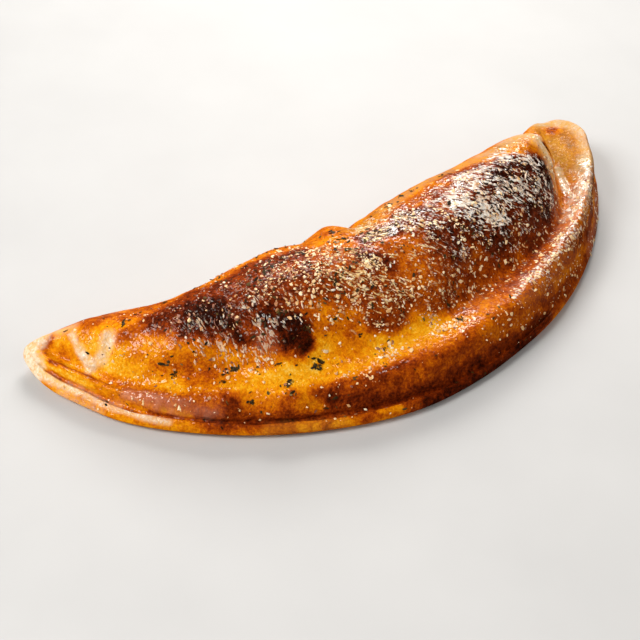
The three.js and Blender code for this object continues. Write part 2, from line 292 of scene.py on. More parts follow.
# strokes: (field, target, opacity, radius in mm, softness of the edge, raggedness, [(phi, t), ...])
PAINT = [
    ('done', 0.22, 1.0, 24, 0.6, 1.0, [(-63.67, 0.3699), (-55.46, 0.3842), (-45.71, 0.2912), (-36.56, 0.2291), (-27.32, 0.2291)]),
    ('done', 0.16, 1.0, 12, 0.7, 1.0, [(-58.54, 0.3699), (-51.77, 0.3198), (-44.22, 0.2625), (-36.32, 0.2196), (-31.04, 0.2315)]),
    ('done', 0.54, 1.0, 8, 0.6, 1.0, [(-66.5, 0.5394), (-61.52, 0.5895), (-54.02, 0.6253), (-45.71, 0.6325)]),
    ('done', 0.18, 1.0, 8, 0.7, 1.0, [(-65.27, 0.4248), (-65.52, 0.3461)]),
    ('done', 0.56, 1.0, 2.4, 0.9, 1.0, [(-67.43, 0.4535), (-67.32, 0.3365)]),
    ('done', 0.54, 1.0, 2.4, 0.9, 1.0, [(-64.62, 0.2936), (-65.52, 0.2673)]),
    ('done', 0.5, 1.0, 3, 0.9, 1.0, [(-64.22, 0.3556)]),
    ('done', 0.3, 1.0, 5, 0.8, 1.0, [(-63.54, 0.4081), (-64.48, 0.4749)]),
    ('done', 0.12, 1.0, 5.0, 0.5, 1.0, [(-64.75, 0.1981), (-58.05, 0.1504), (-51.57, 0.1265), (-46.55, 0.0883), (-41.58, 0.074)]),
    # painted shade: darker lines on the slope down into the crease above the left pinch
    ('done', 0.66, 1.0, 1.5, 0.8, 0.6, [(-65.39, 0.2387), (-62.26, 0.2411), (-58.71, 0.2172), (-54.93, 0.1981), (-52.53, 0.1718)]),
    ('done', 0.5, 1.0, 3.0, 0.8, 1.0, [(-56.34, 0.2291), (-53.46, 0.2029)]),
    ('done', 0.3, 1.0, 4.0, 0.5, 1.0, [(-64.75, 0.0525), (-58.71, 0.0501), (-52.34, 0.0406), (-46.76, 0.0215), (-38.64, 0.0286), (-32.02, 0.0286)]),
    ('done', 0.56, 1.0, 6, 0.6, 1.0, [(-50.99, 0.1671), (-45.92, 0.136), (-40.91, 0.1193)]),
    ('done', 0.36, 1.0, 4.2, 0.5, 1.0, [(-55.82, 0.1504), (-50.8, 0.1265), (-47.18, 0.1002), (-42.91, 0.074), (-39.56, 0.0621)]),
    ('done', 0.66, 1.0, 8, 0.6, 1.0, [(-39.56, 0.1026), (-33.47, 0.1122), (-26.31, 0.105)]),
    ('done', 0.7, 1.0, 4, 0.6, 1.0, [(-40.91, 0.0907), (-33.47, 0.0835), (-24.79, 0.0811)]),
    ('done', 0.93, 1.0, 10, 0.5, 1.0, [(-24.03, 0.1217), (-17.55, 0.1074), (-11.18, 0.1098), (-1.77, 0.105)]),
    ('done', 0.64, 1.0, 10, 0.5, 1.0, [(-12.79, 0.105), (-4.2, 0.1146), (6.33, 0.1098), (16.71, 0.0955)]),
    ('done', 0.56, 1.0, 9, 0.5, 1.0, [(4.45, 0.1289), (9.01, 0.1265), (14.34, 0.1265)]),
    ('done', 0.47, 1.0, 8, 0.5, 1.0, [(21.13, 0.1074), (26.97, 0.0883), (34.04, 0.0811)]),
    ('done', 0.42, 1.0, 6, 0.8, 1.0, [(7.14, 0.1551), (14.6, 0.1408)]),
    ('done', 0.8, 1.0, 4, 0.7, 1.0, [(-23.52, 0.0859), (-13.05, 0.0788), (-4.47, 0.0764), (6.06, 0.0764), (17.5, 0.0549)]),
    ('done', 0.64, 1.0, 7, 0.6, 1.0, [(9.01, 0.1695), (19.58, 0.1504), (29.94, 0.136), (37.31, 0.1599)]),
    ('done', 0.5, 1.0, 6, 0.7, 1.0, [(5.25, 0.2076), (14.07, 0.1862), (22.42, 0.1695)]),
    ('done', 0.72, 1.0, 4.5, 0.6, 1.0, [(-38.18, 0.1742), (-36.56, 0.1527), (-37.26, 0.1337)]),
    ('done', 0.66, 1.0, 3, 0.8, 1.0, [(-34.43, 0.1384), (-32.99, 0.1122)]),
    ('done', 0.72, 1.0, 5.5, 0.6, 1.0, [(-29.56, 0.1766), (-28.82, 0.1432), (-29.56, 0.1122)]),
    ('done', 0.44, 1.0, 5, 0.7, 1.0, [(-34.19, 0.1551), (-32.02, 0.136)]),
    ('done', 0.42, 1.0, 5, 0.7, 1.0, [(-26.82, 0.136), (-25.55, 0.1146)]),
    ('done', 0.66, 1.0, 4, 0.8, 1.0, [(-20.94, 0.148), (-16.49, 0.1408), (-12.52, 0.1551)]),
    ('done', 0.6, 1.0, 4, 0.8, 1.0, [(-42.91, 0.1504), (-41.14, 0.136)]),
    ('done', 0.22, 1.0, 9, 0.5, 1.0, [(-32.02, 0.2172), (-25.81, 0.2148), (-19.9, 0.2363), (-12.25, 0.2625)]),
    ('done', 0.14, 1.0, 6, 0.6, 1.0, [(-31.53, 0.2267), (-27.32, 0.2243), (-25.3, 0.2458)]),
    ('done', 0.22, 1.0, 6, 0.7, 1.0, [(-39.56, 0.2267), (-34.19, 0.2005)]),
    ('done', 0.18, 1.0, 5, 0.7, 1.0, [(-23.77, 0.2959), (-19.12, 0.3007), (-14.11, 0.3055)]),
    ('done', 0.34, 1.0, 6, 0.8, 1.0, [(-19.38, 0.2625), (-14.64, 0.2625)]),
    ('done', 0.18, 1.0, 6, 0.6, 1.0, [(-14.64, 0.2411), (-9.58, 0.2601), (-4.2, 0.2673)]),
    ('done', 0.14, 1.0, 6, 0.6, 1.0, [(-5.28, 0.2673), (0.13, 0.2649), (2.83, 0.2578)]),
    ('done', 0.42, 1.0, 6, 0.7, 1.0, [(3.37, 0.2601), (10.08, 0.2411)]),
    ('done', 0.4, 1.0, 5, 0.8, 1.0, [(7.67, 0.253), (11.42, 0.222)]),
    ('done', 0.5, 1.0, 6, 0.6, 1.0, [(10.62, 0.2482), (16.45, 0.2315), (21.13, 0.2076)]),
    ('done', 0.3, 1.0, 3, 0.8, 1.0, [(17.23, 0.222), (20.87, 0.1885)]),
    ('done', 0.26, 1.0, 4, 0.7, 1.0, [(-9.58, 0.3126), (-6.35, 0.3198)]),
    ('done', 0.5, 1.0, 5, 0.7, 1.0, [(7.41, 0.2816), (12.75, 0.2768)]),
    ('done', 0.6, 1.0, 22, 0.35, 1.0, [(-43.35, 0.4105), (-35.38, 0.4511), (-24.03, 0.4702), (-11.99, 0.4415), (1.75, 0.432), (16.18, 0.3652)]),
    ('done', 0.62, 1.0, 14, 0.5, 1.0, [(-20.68, 0.4177), (-7.16, 0.389), (4.45, 0.3675), (17.5, 0.3126)]),
    ('done', 0.44, 1.0, 7, 0.7, 1.0, [(-22.23, 0.3675), (-16.76, 0.3866), (-13.32, 0.389)]),
    ('done', 0.58, 1.0, 8, 0.6, 1.0, [(-17.28, 0.4439), (-8.24, 0.4248)]),
    ('done', 0.72, 1.0, 6, 0.6, 1.0, [(-13.05, 0.3294), (-9.31, 0.3246)]),
    ('done', 0.7, 1.0, 7, 0.6, 1.0, [(-9.31, 0.3699), (-4.2, 0.3723), (0.13, 0.3938)]),
    ('done', 0.58, 1.0, 6, 0.8, 1.0, [(-24.79, 0.5704), (-18.86, 0.5322), (-15.44, 0.4797)]),
    ('done', 0.68, 1.0, 7, 0.6, 1.0, [(6.33, 0.4368), (3.91, 0.3795), (0.67, 0.327)]),
    ('done', 0.6, 1.0, 4, 0.8, 1.0, [(7.94, 0.4057), (7.94, 0.3604)]),
    ('done', 0.66, 1.0, 9, 0.7, 1.0, [(10.62, 0.3675), (15.66, 0.3031)]),
    ('done', 0.72, 1.0, 9, 0.7, 1.0, [(19.32, 0.2792), (27.47, 0.2673)]),
    ('done', 0.54, 1.0, 4, 0.9, 1.0, [(22.67, 0.2792), (25.47, 0.2697)]),
    ('done', 0.5, 1.0, 4, 0.8, 1.0, [(-3.66, 0.5274), (-0.69, 0.4916)]),
    ('done', 0.55, 1.0, 8, 0.7, 1.0, [(-2.04, 0.4726), (-2.31, 0.4057)]),
    ('done', 0.93, 1.0, 13, 0.6, 1.0, [(-46.55, 0.4726), (-42.91, 0.4773), (-37.49, 0.4773)]),
    ('done', 1.0, 1.0, 12, 0.6, 1.0, [(-42.91, 0.4272), (-38.87, 0.42), (-35.38, 0.4487)]),
    ('done', 0.82, 1.0, 6, 0.5, 1.0, [(-51.96, 0.4869), (-48.0, 0.4749)]),
    ('done', 0.62, 1.0, 4, 0.7, 1.0, [(-55.99, 0.4582), (-53.65, 0.4678)]),
    ('done', 0.36, 1.0, 7, 0.7, 1.0, [(-52.34, 0.389), (-47.38, 0.3628)]),
    ('done', 0.8, 1.0, 9, 0.5, 1.0, [(-35.85, 0.4702), (-30.79, 0.4797), (-25.81, 0.4869)]),
    ('done', 0.78, 1.0, 8, 0.5, 1.0, [(-41.58, 0.5943), (-33.71, 0.6086), (-25.55, 0.6134)]),
    ('done', 0.76, 1.0, 6, 0.6, 1.0, [(-47.18, 0.6086), (-40.69, 0.5967)]),
    ('done', 1.0, 1.0, 7.6, 0.6, 2.2, [(-30.06, 0.3484), (-27.07, 0.3294)]),
    ('done', 0.94, 1.0, 5, 0.6, 1.0, [(-26.06, 0.3103)]),
    ('done', 0.93, 1.0, 6, 0.5, 1.0, [(-31.53, 0.3747), (-28.32, 0.3747)]),
    ('done', 0.62, 1.0, 5, 0.7, 1.0, [(-33.23, 0.3389), (-32.5, 0.3079)]),
    ('done', 0.92, 1.0, 6.5, 0.7, 1.0, [(-42.25, 0.3914), (-39.79, 0.3723), (-37.02, 0.3604)]),
    ('done', 0.74, 1.0, 4, 0.8, 1.0, [(-35.85, 0.389), (-34.19, 0.3604)]),
    ('done', 0.36, 1.0, 6, 0.8, 1.0, [(-39.56, 0.315), (-36.56, 0.284)]),
    ('done', 0.44, 1.0, 4, 0.8, 1.0, [(-34.66, 0.2888), (-31.53, 0.2745)]),
    ('done', 0.38, 1.0, 6, 0.8, 1.0, [(-44.22, 0.3556), (-40.46, 0.3055)]),
    ('done', 0.88, 1.0, 16, 0.35, 1.0, [(11.15, 0.4893), (20.87, 0.4821), (30.67, 0.4487), (36.62, 0.4081)]),
    ('done', 0.92, 1.0, 13, 0.35, 1.0, [(21.9, 0.432), (30.92, 0.3819), (33.8, 0.315)]),
    ('done', 0.94, 1.0, 8, 0.4, 1.0, [(32.37, 0.5227), (37.08, 0.4726), (39.59, 0.4033)]),
    ('done', 0.88, 1.0, 4, 0.6, 1.0, [(36.85, 0.3842), (36.16, 0.3103), (32.85, 0.2578)]),
    ('done', 0.84, 1.0, 4, 0.7, 1.0, [(38.0, 0.3317), (36.62, 0.2649), (30.67, 0.2315)]),
    ('done', 0.74, 1.0, 5, 0.7, 1.0, [(30.18, 0.2482), (25.72, 0.2601)]),
    ('done', 0.72, 1.0, 7, 0.6, 1.0, [(10.62, 0.5585), (19.58, 0.5752), (25.97, 0.568)]),
    ('done', 0.84, 1.0, 6, 0.6, 1.0, [(9.01, 0.568), (5.25, 0.6038)]),
    ('done', 0.84, 1.0, 5, 0.6, 1.0, [(-8.24, 0.5847), (-1.23, 0.5704), (5.52, 0.5776)]),
    ('done', 0.84, 1.0, 5, 0.6, 1.0, [(-10.65, 0.5179), (-7.43, 0.4749)]),
    ('done', 0.78, 1.0, 7, 0.7, 1.0, [(25.47, 0.3508), (30.92, 0.2625)]),
    ('done', 0.86, 1.0, 5, 0.7, 1.0, [(18.02, 0.3795), (13.54, 0.4344)]),
    ('done', 0.42, 1.0, 5, 0.7, 1.0, [(-44.86, 0.6659), (-37.26, 0.7351), (-25.3, 0.6993)]),
    ('done', 0.46, 1.0, 5, 0.6, 1.0, [(-17.55, 0.7136), (-12.52, 0.685), (-9.58, 0.6468)]),
    ('done', 0.72, 1.0, 4.5, 0.8, 1.0, [(25.47, 0.642), (29.69, 0.6158), (33.33, 0.5847)]),
    ('done', 0.4, 1.0, 4.4, 0.6, 1.8, [(-8.24, 0.6635), (6.6, 0.7112), (22.42, 0.7112), (33.09, 0.6754), (40.04, 0.6253)]),
    ('pale', 0.13, 1.0, 4.4, 0.6, 0.9, [(6.6, 0.7112), (22.42, 0.7112), (33.09, 0.6754), (40.04, 0.6253)]),
    ('done', 0.34, 1.0, 5, 0.6, 1.0, [(37.54, 0.6348), (42.9, 0.6038), (46.9, 0.5823)]),
    ('done', 0.6, 1.0, 4.2, 0.7, 1.6, [(9.55, 0.6396), (16.71, 0.6253), (21.39, 0.6062)]),
    ('done', 0.54, 1.0, 2.6, 0.8, 1.6, [(4.71, 0.6611), (15.92, 0.6611), (25.97, 0.6325)]),
    ('done', 0.22, 1.0, 5, 0.5, 1.0, [(48.11, 0.5322), (45.66, 0.4391), (43.12, 0.3461)]),
    ('done', 0.62, 1.0, 3.5, 0.7, 1.0, [(40.93, 0.3198), (38.0, 0.2578), (33.09, 0.222)]),
    ('done', 0.44, 1.0, 9, 0.5, 1.0, [(52.55, 0.2625), (44.19, 0.222)]),
    ('done', 0.54, 1.0, 8, 0.5, 1.0, [(38.0, 0.2124), (31.64, 0.1909), (25.72, 0.179)]),
    ('done', 0.18, 1.0, 6, 0.9, 1.0, [(55.24, 0.3413), (51.05, 0.2697)]),
    ('olive_dull_and_shade', 0.08, 1.0, 8, 0.8, 1.0, [(55.93, 0.3389), (51.24, 0.2673)]),
    ('done', 0.46, 1.0, 5, 0.6, 1.0, [(53.1, 0.2506), (46.69, 0.1933)]),
    ('done', 0.74, 1.0, 4.2, 0.6, 1.0, [(50.67, 0.1933), (46.49, 0.1695), (43.97, 0.1169), (39.59, 0.0859), (34.04, 0.0811)]),
    # painted sheen: a pinkish tint on the front of the right roll
    ('painted_sheen', 0.3, 1.0, 3.6, 0.8, 1.0, [(49.5, 0.1909), (44.82, 0.148), (40.93, 0.0955)]),
    ('done', 0.76, 1.0, 4.5, 0.6, 1.0, [(51.8, 0.1575), (53.47, 0.043), (47.51, 0.0358), (39.81, 0.0286), (33.09, 0.031)]),
    ('painted_sheen', 0.45, 1.0, 4.5, 0.8, 1.0, [(49.5, 0.1718), (50.47, 0.0573), (44.19, 0.0453), (37.31, 0.043)]),
    ('done', 0.44, 1.0, 4, 0.7, 1.0, [(36.16, 0.0692), (29.69, 0.0859), (22.93, 0.1074)]),
    ('done', 0.66, 1.0, 4.4, 0.7, 1.0, [(39.14, 0.0263), (32.85, 0.0382), (25.72, 0.0549), (20.1, 0.0716)]),
    ('done', 0.62, 1.0, 4, 0.7, 1.0, [(33.09, 0.222), (26.97, 0.2005)]),
    ('done', 0.56, 1.0, 4, 0.7, 1.0, [(21.39, 0.1766), (15.92, 0.1909)]),
    ('done', 0.32, 1.0, 12, 0.5, 1.0, [(65.99, 0.5513), (61.88, 0.4153), (55.24, 0.3007)]),
    ('done', 0.36, 1.0, 2.8, 0.9, 1.0, [(65.64, 0.5632), (64.29, 0.4726)]),
    ('done', 0.46, 1.0, 2.8, 0.9, 1.0, [(63.12, 0.4344), (61.01, 0.3914), (58.25, 0.3365), (55.07, 0.2888)]),
    ('done', 0.6, 1.0, 2.2, 0.9, 0.6, [(64.92, 0.5084), (65.16, 0.4893)]),
    ('done', 0.58, 1.0, 2.0, 0.9, 1.0, [(59.67, 0.3652)]),
    ('done', 0.4, 1.0, 2, 0.8, 1.0, [(55.59, 0.3914), (54.01, 0.3007)]),
    ('done', 0.3, 1.0, 4, 0.8, 1.0, [(54.89, 0.3556), (51.99, 0.2816)]),
    ('done', 0.5, 1.0, 3.2, 0.6, 1.0, [(-32.02, 0.0358), (-26.57, 0.0358), (-21.72, 0.0406)]),
    ('olive_dull_and_shade', 0.15, 1.0, 3.2, 0.6, 1.0, [(-32.02, 0.0358), (-26.57, 0.0358), (-21.72, 0.0406)]),
    ('done', 0.6, 1.0, 3.2, 0.6, 1.0, [(-19.12, 0.0406), (-13.58, 0.0406), (-8.77, 0.0358)]),
    ('done', 0.92, 1.0, 3.6, 0.6, 1.0, [(-8.77, 0.0334), (-3.39, 0.0239), (4.71, 0.0215), (13.54, 0.0286)]),
    ('done', 0.62, 1.0, 1.6, 0.9, 1.0, [(-28.57, 0.0358)]),
    ('done', 0.6, 1.0, 1.6, 0.9, 1.0, [(-24.28, 0.0358)]),
    ('done', 0.6, 1.0, 1.6, 0.9, 1.0, [(-19.9, 0.0453)]),
    # painted shade: dark lines along the creases of the front lip, and last the crease at the flap
    ('done', 0.8, 1.0, 1.2, 0.9, 0.3, [(-42.25, 0.0835), (-36.09, 0.0764), (-29.81, 0.074), (-23.52, 0.074), (-15.97, 0.0764), (-7.97, 0.074)]),
    ('done', 0.62, 1.0, 1.2, 0.9, 0.3, [(-48.61, 0.105), (-45.07, 0.0883), (-41.58, 0.0788)]),
    ('done', 0.6, 1.0, 1.0, 0.9, 0.3, [(-65.27, 0.1575), (-60.46, 0.1313), (-56.17, 0.1122), (-50.6, 0.0907)]),
    ('done', 0.95, 1.0, 0.9, 0.7, 0.2, [(50.67, 0.5704), (48.51, 0.5084), (48.71, 0.4702), (49.11, 0.432)]),
    ('pale', 1, 1.0, 5.6, 0.4, 1.0, [(-69.61, 0.2458), (-67.87, 0.1026)]),
    ('pale', 1, 1.0, 3.6, 0.5, 1.0, [(-66.62, 0.0716), (-68.09, 0.1575)]),
    ('pale', 0.7, 1.0, 3.2, 0.6, 1.0, [(-69.12, 0.3795), (-68.72, 0.5036)]),
    ('pale', 0.35, 1.0, 3, 0.8, 1.0, [(-67.2, 0.5513), (-65.14, 0.5537)]),
    # the cream along the tops of the left lips: pale dough, brightest along each top as painted highlight
    ('pale', 0.72, 1.0, 2.3, 0.6, 0.8, [(-65.64, 0.105), (-62.84, 0.1098), (-59.67, 0.105)]),
    ('pale', 0.48, 1.0, 2.1, 0.6, 0.8, [(-58.05, 0.0979), (-55.29, 0.0907), (-53.09, 0.0859)]),
    ('pale', 0.7, 1.0, 1.3, 0.8, 0.8, [(-52.34, 0.0811), (-49.21, 0.0668), (-45.71, 0.0573)]),
    ('pale', 0.25, 1.0, 2.0, 0.9, 1.0, [(-61.97, 0.0477), (-55.46, 0.0406)]),
    # the pleats at the left end: pale dough, with a painted highlight along their ridges
    ('pale', 0.75, 1.0, 1.7, 0.8, 1.0, [(-63.95, 0.4606), (-62.11, 0.3723)]),
    ('pale', 1, 1.0, 2.4, 0.6, 0.6, [(-61.97, 0.3747), (-60.77, 0.3317), (-59.51, 0.2936)]),
    ('pale', 0.75, 1.0, 2.7, 0.8, 1.0, [(-58.05, 0.4511), (-57.88, 0.3914), (-58.21, 0.3413)]),
    ('done', 0.34, 1.0, 1.6, 0.9, 1.0, [(-28.07, 0.0406), (-26.06, 0.0406)]),
    ('done', 0.3, 1.0, 1.6, 0.9, 1.0, [(-23.26, 0.0382), (-20.94, 0.0406)]),
    ('done', 0.34, 1.0, 1.6, 0.9, 1.0, [(-16.49, 0.0453), (-13.32, 0.043)]),
    ('pale', 0.0, 1.0, 11, 0.5, 0.5, [(65.28, 0.5561), (61.59, 0.432), (56.44, 0.327)]),
    ('pale', 0.0, 1.0, 2.6, 0.9, 1.0, [(65.28, 0.5465), (64.54, 0.4702)]),
    ('pale', 0.05, 1.0, 2.2, 0.9, 1.0, [(61.45, 0.401), (58.89, 0.3461)]),
    # the right rim: pale dough, lightened along the top and crest of the roll as painted highlight
    ('pale', 0.55, 1.0, 4.0, 0.7, 1.0, [(68.32, 0.6444), (68.22, 0.4344), (65.64, 0.3413)]),
    ('pale', 0.54, 1.0, 4.2, 0.7, 1.0, [(64.17, 0.315), (58.89, 0.2697), (54.01, 0.2196)]),
    ('painted_sheen', 0.42, 1.0, 3.0, 0.8, 1.0, [(59.97, 0.2649), (56.44, 0.2076), (53.1, 0.1718)]),
    ('pale', 0.74, 1.0, 5.0, 0.6, 1.4, [(53.65, 0.2411), (48.51, 0.2196), (43.55, 0.2196)]),
    ('pale', 0.3, 1.0, 5, 0.6, 1.8, [(42.68, 0.2196), (37.77, 0.2148)]),
    ('pale', 0.14, 1.0, 5, 0.5, 2.2, [(35.46, 0.1957), (29.94, 0.1909)]),
    ('pale', 0.03, 1.0, 7, 0.7, 1.0, [(30.43, 0.1527), (24.71, 0.1575), (20.1, 0.1623), (14.6, 0.179)]),
    ('done', 0.66, 1.0, 4, 0.8, 1.0, [(16.71, 0.2291), (20.87, 0.2148), (25.47, 0.2029), (29.94, 0.1981)]),
    ('done', 0.62, 1.0, 7, 0.7, 1.0, [(10.89, 0.2601), (15.13, 0.2411)]),
    ('pale', 0.4, 1.0, 6, 0.6, 1.0, [(45.45, 0.6158), (49.11, 0.6014), (47.91, 0.5442)]),
    ('pale', 0.4, 1.0, 4, 0.8, 1.0, [(47.71, 0.5298), (45.87, 0.4726), (44.4, 0.42)]),
    # the flank of the dome's end by the flap's crease: pale dough, lightened as painted light where the face turns from
    # the lamps
    ('pale', 0.85, 1.0, 2.4, 0.8, 1.0, [(49.11, 0.537), (46.9, 0.4845), (46.08, 0.4344)]),
    ('done', 0.12, 1.0, 2.4, 0.8, 1.0, [(49.11, 0.537), (46.9, 0.4845), (46.08, 0.4344)]),
    ('pale', 0.25, 1.0, 3, 0.8, 1.0, [(44.19, 0.4033), (42.9, 0.327)]),
    ('pale', 0.35, 1.0, 3, 0.8, 1.0, [(39.36, 0.6539), (41.37, 0.6229)]),
    # the thin white ridge by the flap's crease: pale dough with a painted highlight along it
    ('pale', 0.9, 1.0, 1.9, 0.7, 1.6, [(48.51, 0.4153), (53.65, 0.358), (50.09, 0.3031), (46.08, 0.2673)]),
    ('done', 0.46, 1.0, 1.4, 0.8, 1.0, [(46.28, 0.4439), (44.82, 0.3986), (44.82, 0.327), (43.55, 0.2745)]),
    ('done', 0.62, 1.0, 3, 0.8, 1.0, [(40.26, 0.2912), (34.75, 0.2291)]),
    # olive dulling over the ear, deepest in its dish by the crease, where it is painted shade
    ('olive_dull_and_shade', 0.42, 1.0, 12, 0.7, 1.0, [(65.16, 0.4988), (61.31, 0.4057), (55.07, 0.2888)]),
    ('olive_dull_and_shade', 0.5, 1.0, 4.4, 0.9, 1.0, [(61.45, 0.4893), (58.89, 0.42), (56.78, 0.3604)]),
    ('olive_dull_and_shade', 0.0, 1.0, 3.2, 0.9, 1.0, [(64.92, 0.5227), (64.79, 0.4678)]),
    ('olive_dull_and_shade', 0.0, 1.0, 2.6, 0.8, 1.0, [(49.5, 0.5465), (46.9, 0.4893), (46.28, 0.4439)]),
    ('olive_dull_and_shade', 0.24, 1.0, 5, 0.6, 1.0, [(-8.24, 0.6635), (6.6, 0.7112), (22.42, 0.7112), (33.09, 0.6754), (40.04, 0.6253), (44.4, 0.6014)]),
    ('olive_dull_and_shade', 0.12, 1.0, 3, 0.9, 1.0, [(-59.19, 0.3699), (-59.83, 0.4081)]),
    # painted sheen: a pinkish tint where the oily crust would mirror the front light
    ('painted_sheen', 0.65, 1.0, 3.4, 0.6, 1.0, [(-51.96, 0.1742), (-48.81, 0.1527), (-44.43, 0.1241)]),
    ('painted_sheen', 0.4, 1.0, 3.4, 0.7, 1.0, [(-44.43, 0.1241), (-39.56, 0.1122)]),
    ('painted_sheen', 0.3, 1.0, 3.5, 0.9, 1.0, [(-32.74, 0.3437), (-32.26, 0.3198)]),
    ('painted_sheen', 0.0, 1.0, 6, 0.8, 1.0, [(-37.72, 0.3986), (-40.69, 0.3652)]),
    ('painted_sheen', 0.3, 1.0, 4, 0.7, 1.0, [(52.36, 0.2768), (42.47, 0.2076)]),
    ('done', 0.7, 1.0, 9, 0.6, 1.0, [(-25.3, 0.5322), (-19.9, 0.4726), (-14.11, 0.432)]),
    ('wet', 0.1, 1.0, 60, 0.3, 1.0, [(-68.51, 0.1647), (-41.58, 0.0835), (-12.79, 0.105), (15.13, 0.0334), (44.82, 0.0597)]),
    ('wet', 0.3, 1.0, 5, 0.7, 1.0, [(49.5, 0.148), (47.91, 0.0525), (40.04, 0.043), (32.13, 0.0692)]),
    ('wet', 0.12, 1.0, 30, 0.4, 1.0, [(-65.27, 0.3652), (-42.47, 0.2315), (-27.32, 0.2243), (-5.55, 0.2601), (12.75, 0.2411)]),
    ('wet', 0.32, 1.0, 9, 0.7, 1.0, [(-51.77, 0.3031), (-42.47, 0.2434), (-37.26, 0.2148)]),
    ('wet', 0.06, 1.0, 12, 0.7, 1.0, [(-52.9, 0.4272), (-47.79, 0.3795), (-43.57, 0.3246)]),
    ('wet', 0.22, 1.0, 8, 0.7, 1.0, [(-27.32, 0.2172), (-13.32, 0.2578)]),
    ('wet', 0.22, 1.0, 24, 0.6, 1.0, [(-46.76, 0.432), (-33.47, 0.4582), (-17.55, 0.4893), (-0.41, 0.4391)]),
    ('wet', 0.1, 1.0, 13, 0.6, 1.0, [(-47.38, 0.4582), (-41.36, 0.4511), (-34.9, 0.4535)]),
    ('wet', 0.6, 1.0, 5, 0.7, 1.0, [(-33.23, 0.3437), (-32.26, 0.3699)]),
    ('wet', 0.4, 1.0, 5, 0.7, 1.0, [(-51.77, 0.1623), (-47.38, 0.1384), (-43.78, 0.1193)]),
    ('wet', 0.08, 1.0, 12, 0.6, 1.0, [(-25.3, 0.5632), (-18.86, 0.5322), (-14.91, 0.4893)]),
    ('wet', 0.72, 1.0, 24, 0.5, 1.0, [(12.48, 0.5489), (22.93, 0.5036), (34.75, 0.4272)]),
    ('wet', 0.07, 1.0, 12, 0.6, 1.0, [(11.42, 0.2983), (19.84, 0.2888), (30.18, 0.2554), (36.85, 0.3031)]),
    ('wet', 0.05, 1.0, 14, 0.4, 1.0, [(65.99, 0.5251), (60.12, 0.4344), (61.16, 0.3675)]),
    ('wet', 0.8, 1.0, 7.5, 0.5, 1.0, [(51.62, 0.2124), (45.24, 0.2005), (37.77, 0.1838), (31.89, 0.1766)]),
    ('wet', 0.82, 1.0, 3.2, 0.6, 1.0, [(33.09, 0.1575), (28.46, 0.1718), (23.69, 0.1814), (19.32, 0.1885), (14.07, 0.1909)]),
    ('wet', 0.08, 1.0, 4.5, 0.7, 1.0, [(33.56, 0.2458), (28.71, 0.2506), (23.44, 0.2554), (17.23, 0.2625)]),
    ('wet', 0.05, 1.0, 7, 0.7, 1.0, [(13.81, 0.21), (10.35, 0.2243), (6.87, 0.2339)]),
    ('wet', 0.4, 1.0, 4, 0.8, 1.0, [(3.91, 0.2243), (-2.85, 0.2243)]),
    ('wet', 0.9, 1.0, 2.2, 0.7, 1.0, [(48.31, 0.4105), (50.86, 0.3126), (45.66, 0.2649)]),
    ('wet', 0.2, 1.0, 4, 0.7, 1.0, [(43.97, 0.2649), (41.15, 0.2649)]),
    ('wet', 0.9, 1.0, 6, 0.6, 1.0, [(40.04, 0.5943), (40.48, 0.5084)]),
    ('wet', 0.0, 1.0, 6, 0.6, 1.0, [(6.6, 0.7112), (22.42, 0.7112), (33.09, 0.6754), (39.36, 0.6372)]),
    ('wet', 0.08, 1.0, 7, 0.7, 1.0, [(-41.36, 0.6683), (-33.47, 0.6516), (-24.28, 0.6158), (-16.23, 0.5871)]),
    ('streak', 1.0, 1.0, 22, 0.5, 1.0, [(14.07, 0.506), (24.71, 0.4845), (34.75, 0.4487)]),
    ('streak', 0.6, 1.0, 14, 0.6, 1.0, [(24.2, 0.3198), (32.37, 0.3294)]),
    ('streak', 0.5, 1.0, 9, 0.6, 1.0, [(-42.25, 0.3556), (-37.95, 0.3174)]),
    ('streak', 0.3, 1.0, 14, 0.7, 1.0, [(-15.97, 0.5036), (-11.99, 0.4415)]),
    ('streak', 0.6, 1.0, 12, 0.6, 1.0, [(-35.14, 0.4057), (-28.57, 0.3389)]),
    # the web of melted cheese, and painted highlight: its near-white over the burnt dome and along the right roll
    # stands in for glints of the lamp on the oil
    ('cheese_web_and_highlight', 0.05, 1.0, 18, 0.6, 1.0, [(-46.97, 0.463), (-37.02, 0.4368)]),
    ('cheese_web_and_highlight', 0.1, 1.0, 18, 0.6, 1.0, [(-26.31, 0.4344), (-12.79, 0.4153), (0.67, 0.4057)]),
    ('cheese_web_and_highlight', 0.06, 1.0, 10, 0.6, 1.0, [(-42.91, 0.4487), (-37.95, 0.463)]),
    ('cheese_web_and_highlight', 0.16, 1.0, 10, 0.6, 1.0, [(-33.23, 0.4654), (-27.82, 0.4845)]),
    ('cheese_web_and_highlight', 0.42, 1.0, 5, 0.8, 1.0, [(-45.07, 0.4511), (-42.47, 0.4057)]),
    ('cheese_web_and_highlight', 0.36, 1.0, 6, 0.8, 1.0, [(-43.78, 0.3866), (-40.91, 0.3461)]),
    ('cheese_web_and_highlight', 0.12, 1.0, 12, 0.6, 1.0, [(-24.03, 0.5442), (-19.9, 0.5298)]),
    ('cheese_web_and_highlight', 0.44, 1.0, 11, 0.6, 1.0, [(-17.55, 0.5036), (-13.32, 0.4654), (-9.31, 0.4177)]),
    ('cheese_web_and_highlight', 0.3, 1.0, 7, 0.7, 1.0, [(-6.08, 0.4702), (-3.12, 0.4224)]),
    ('cheese_web_and_highlight', 0.4, 1.0, 5, 0.7, 1.0, [(-42.69, 0.3604), (-40.69, 0.327), (-39.56, 0.3031)]),
    ('cheese_web_and_highlight', 0.0, 1.0, 7, 0.6, 1.0, [(-51.19, 0.4177), (-46.34, 0.358)]),
    ('cheese_web_and_highlight', 0.44, 1.0, 4, 0.7, 1.0, [(-37.72, 0.3341), (-36.09, 0.2912), (-33.23, 0.2721)]),
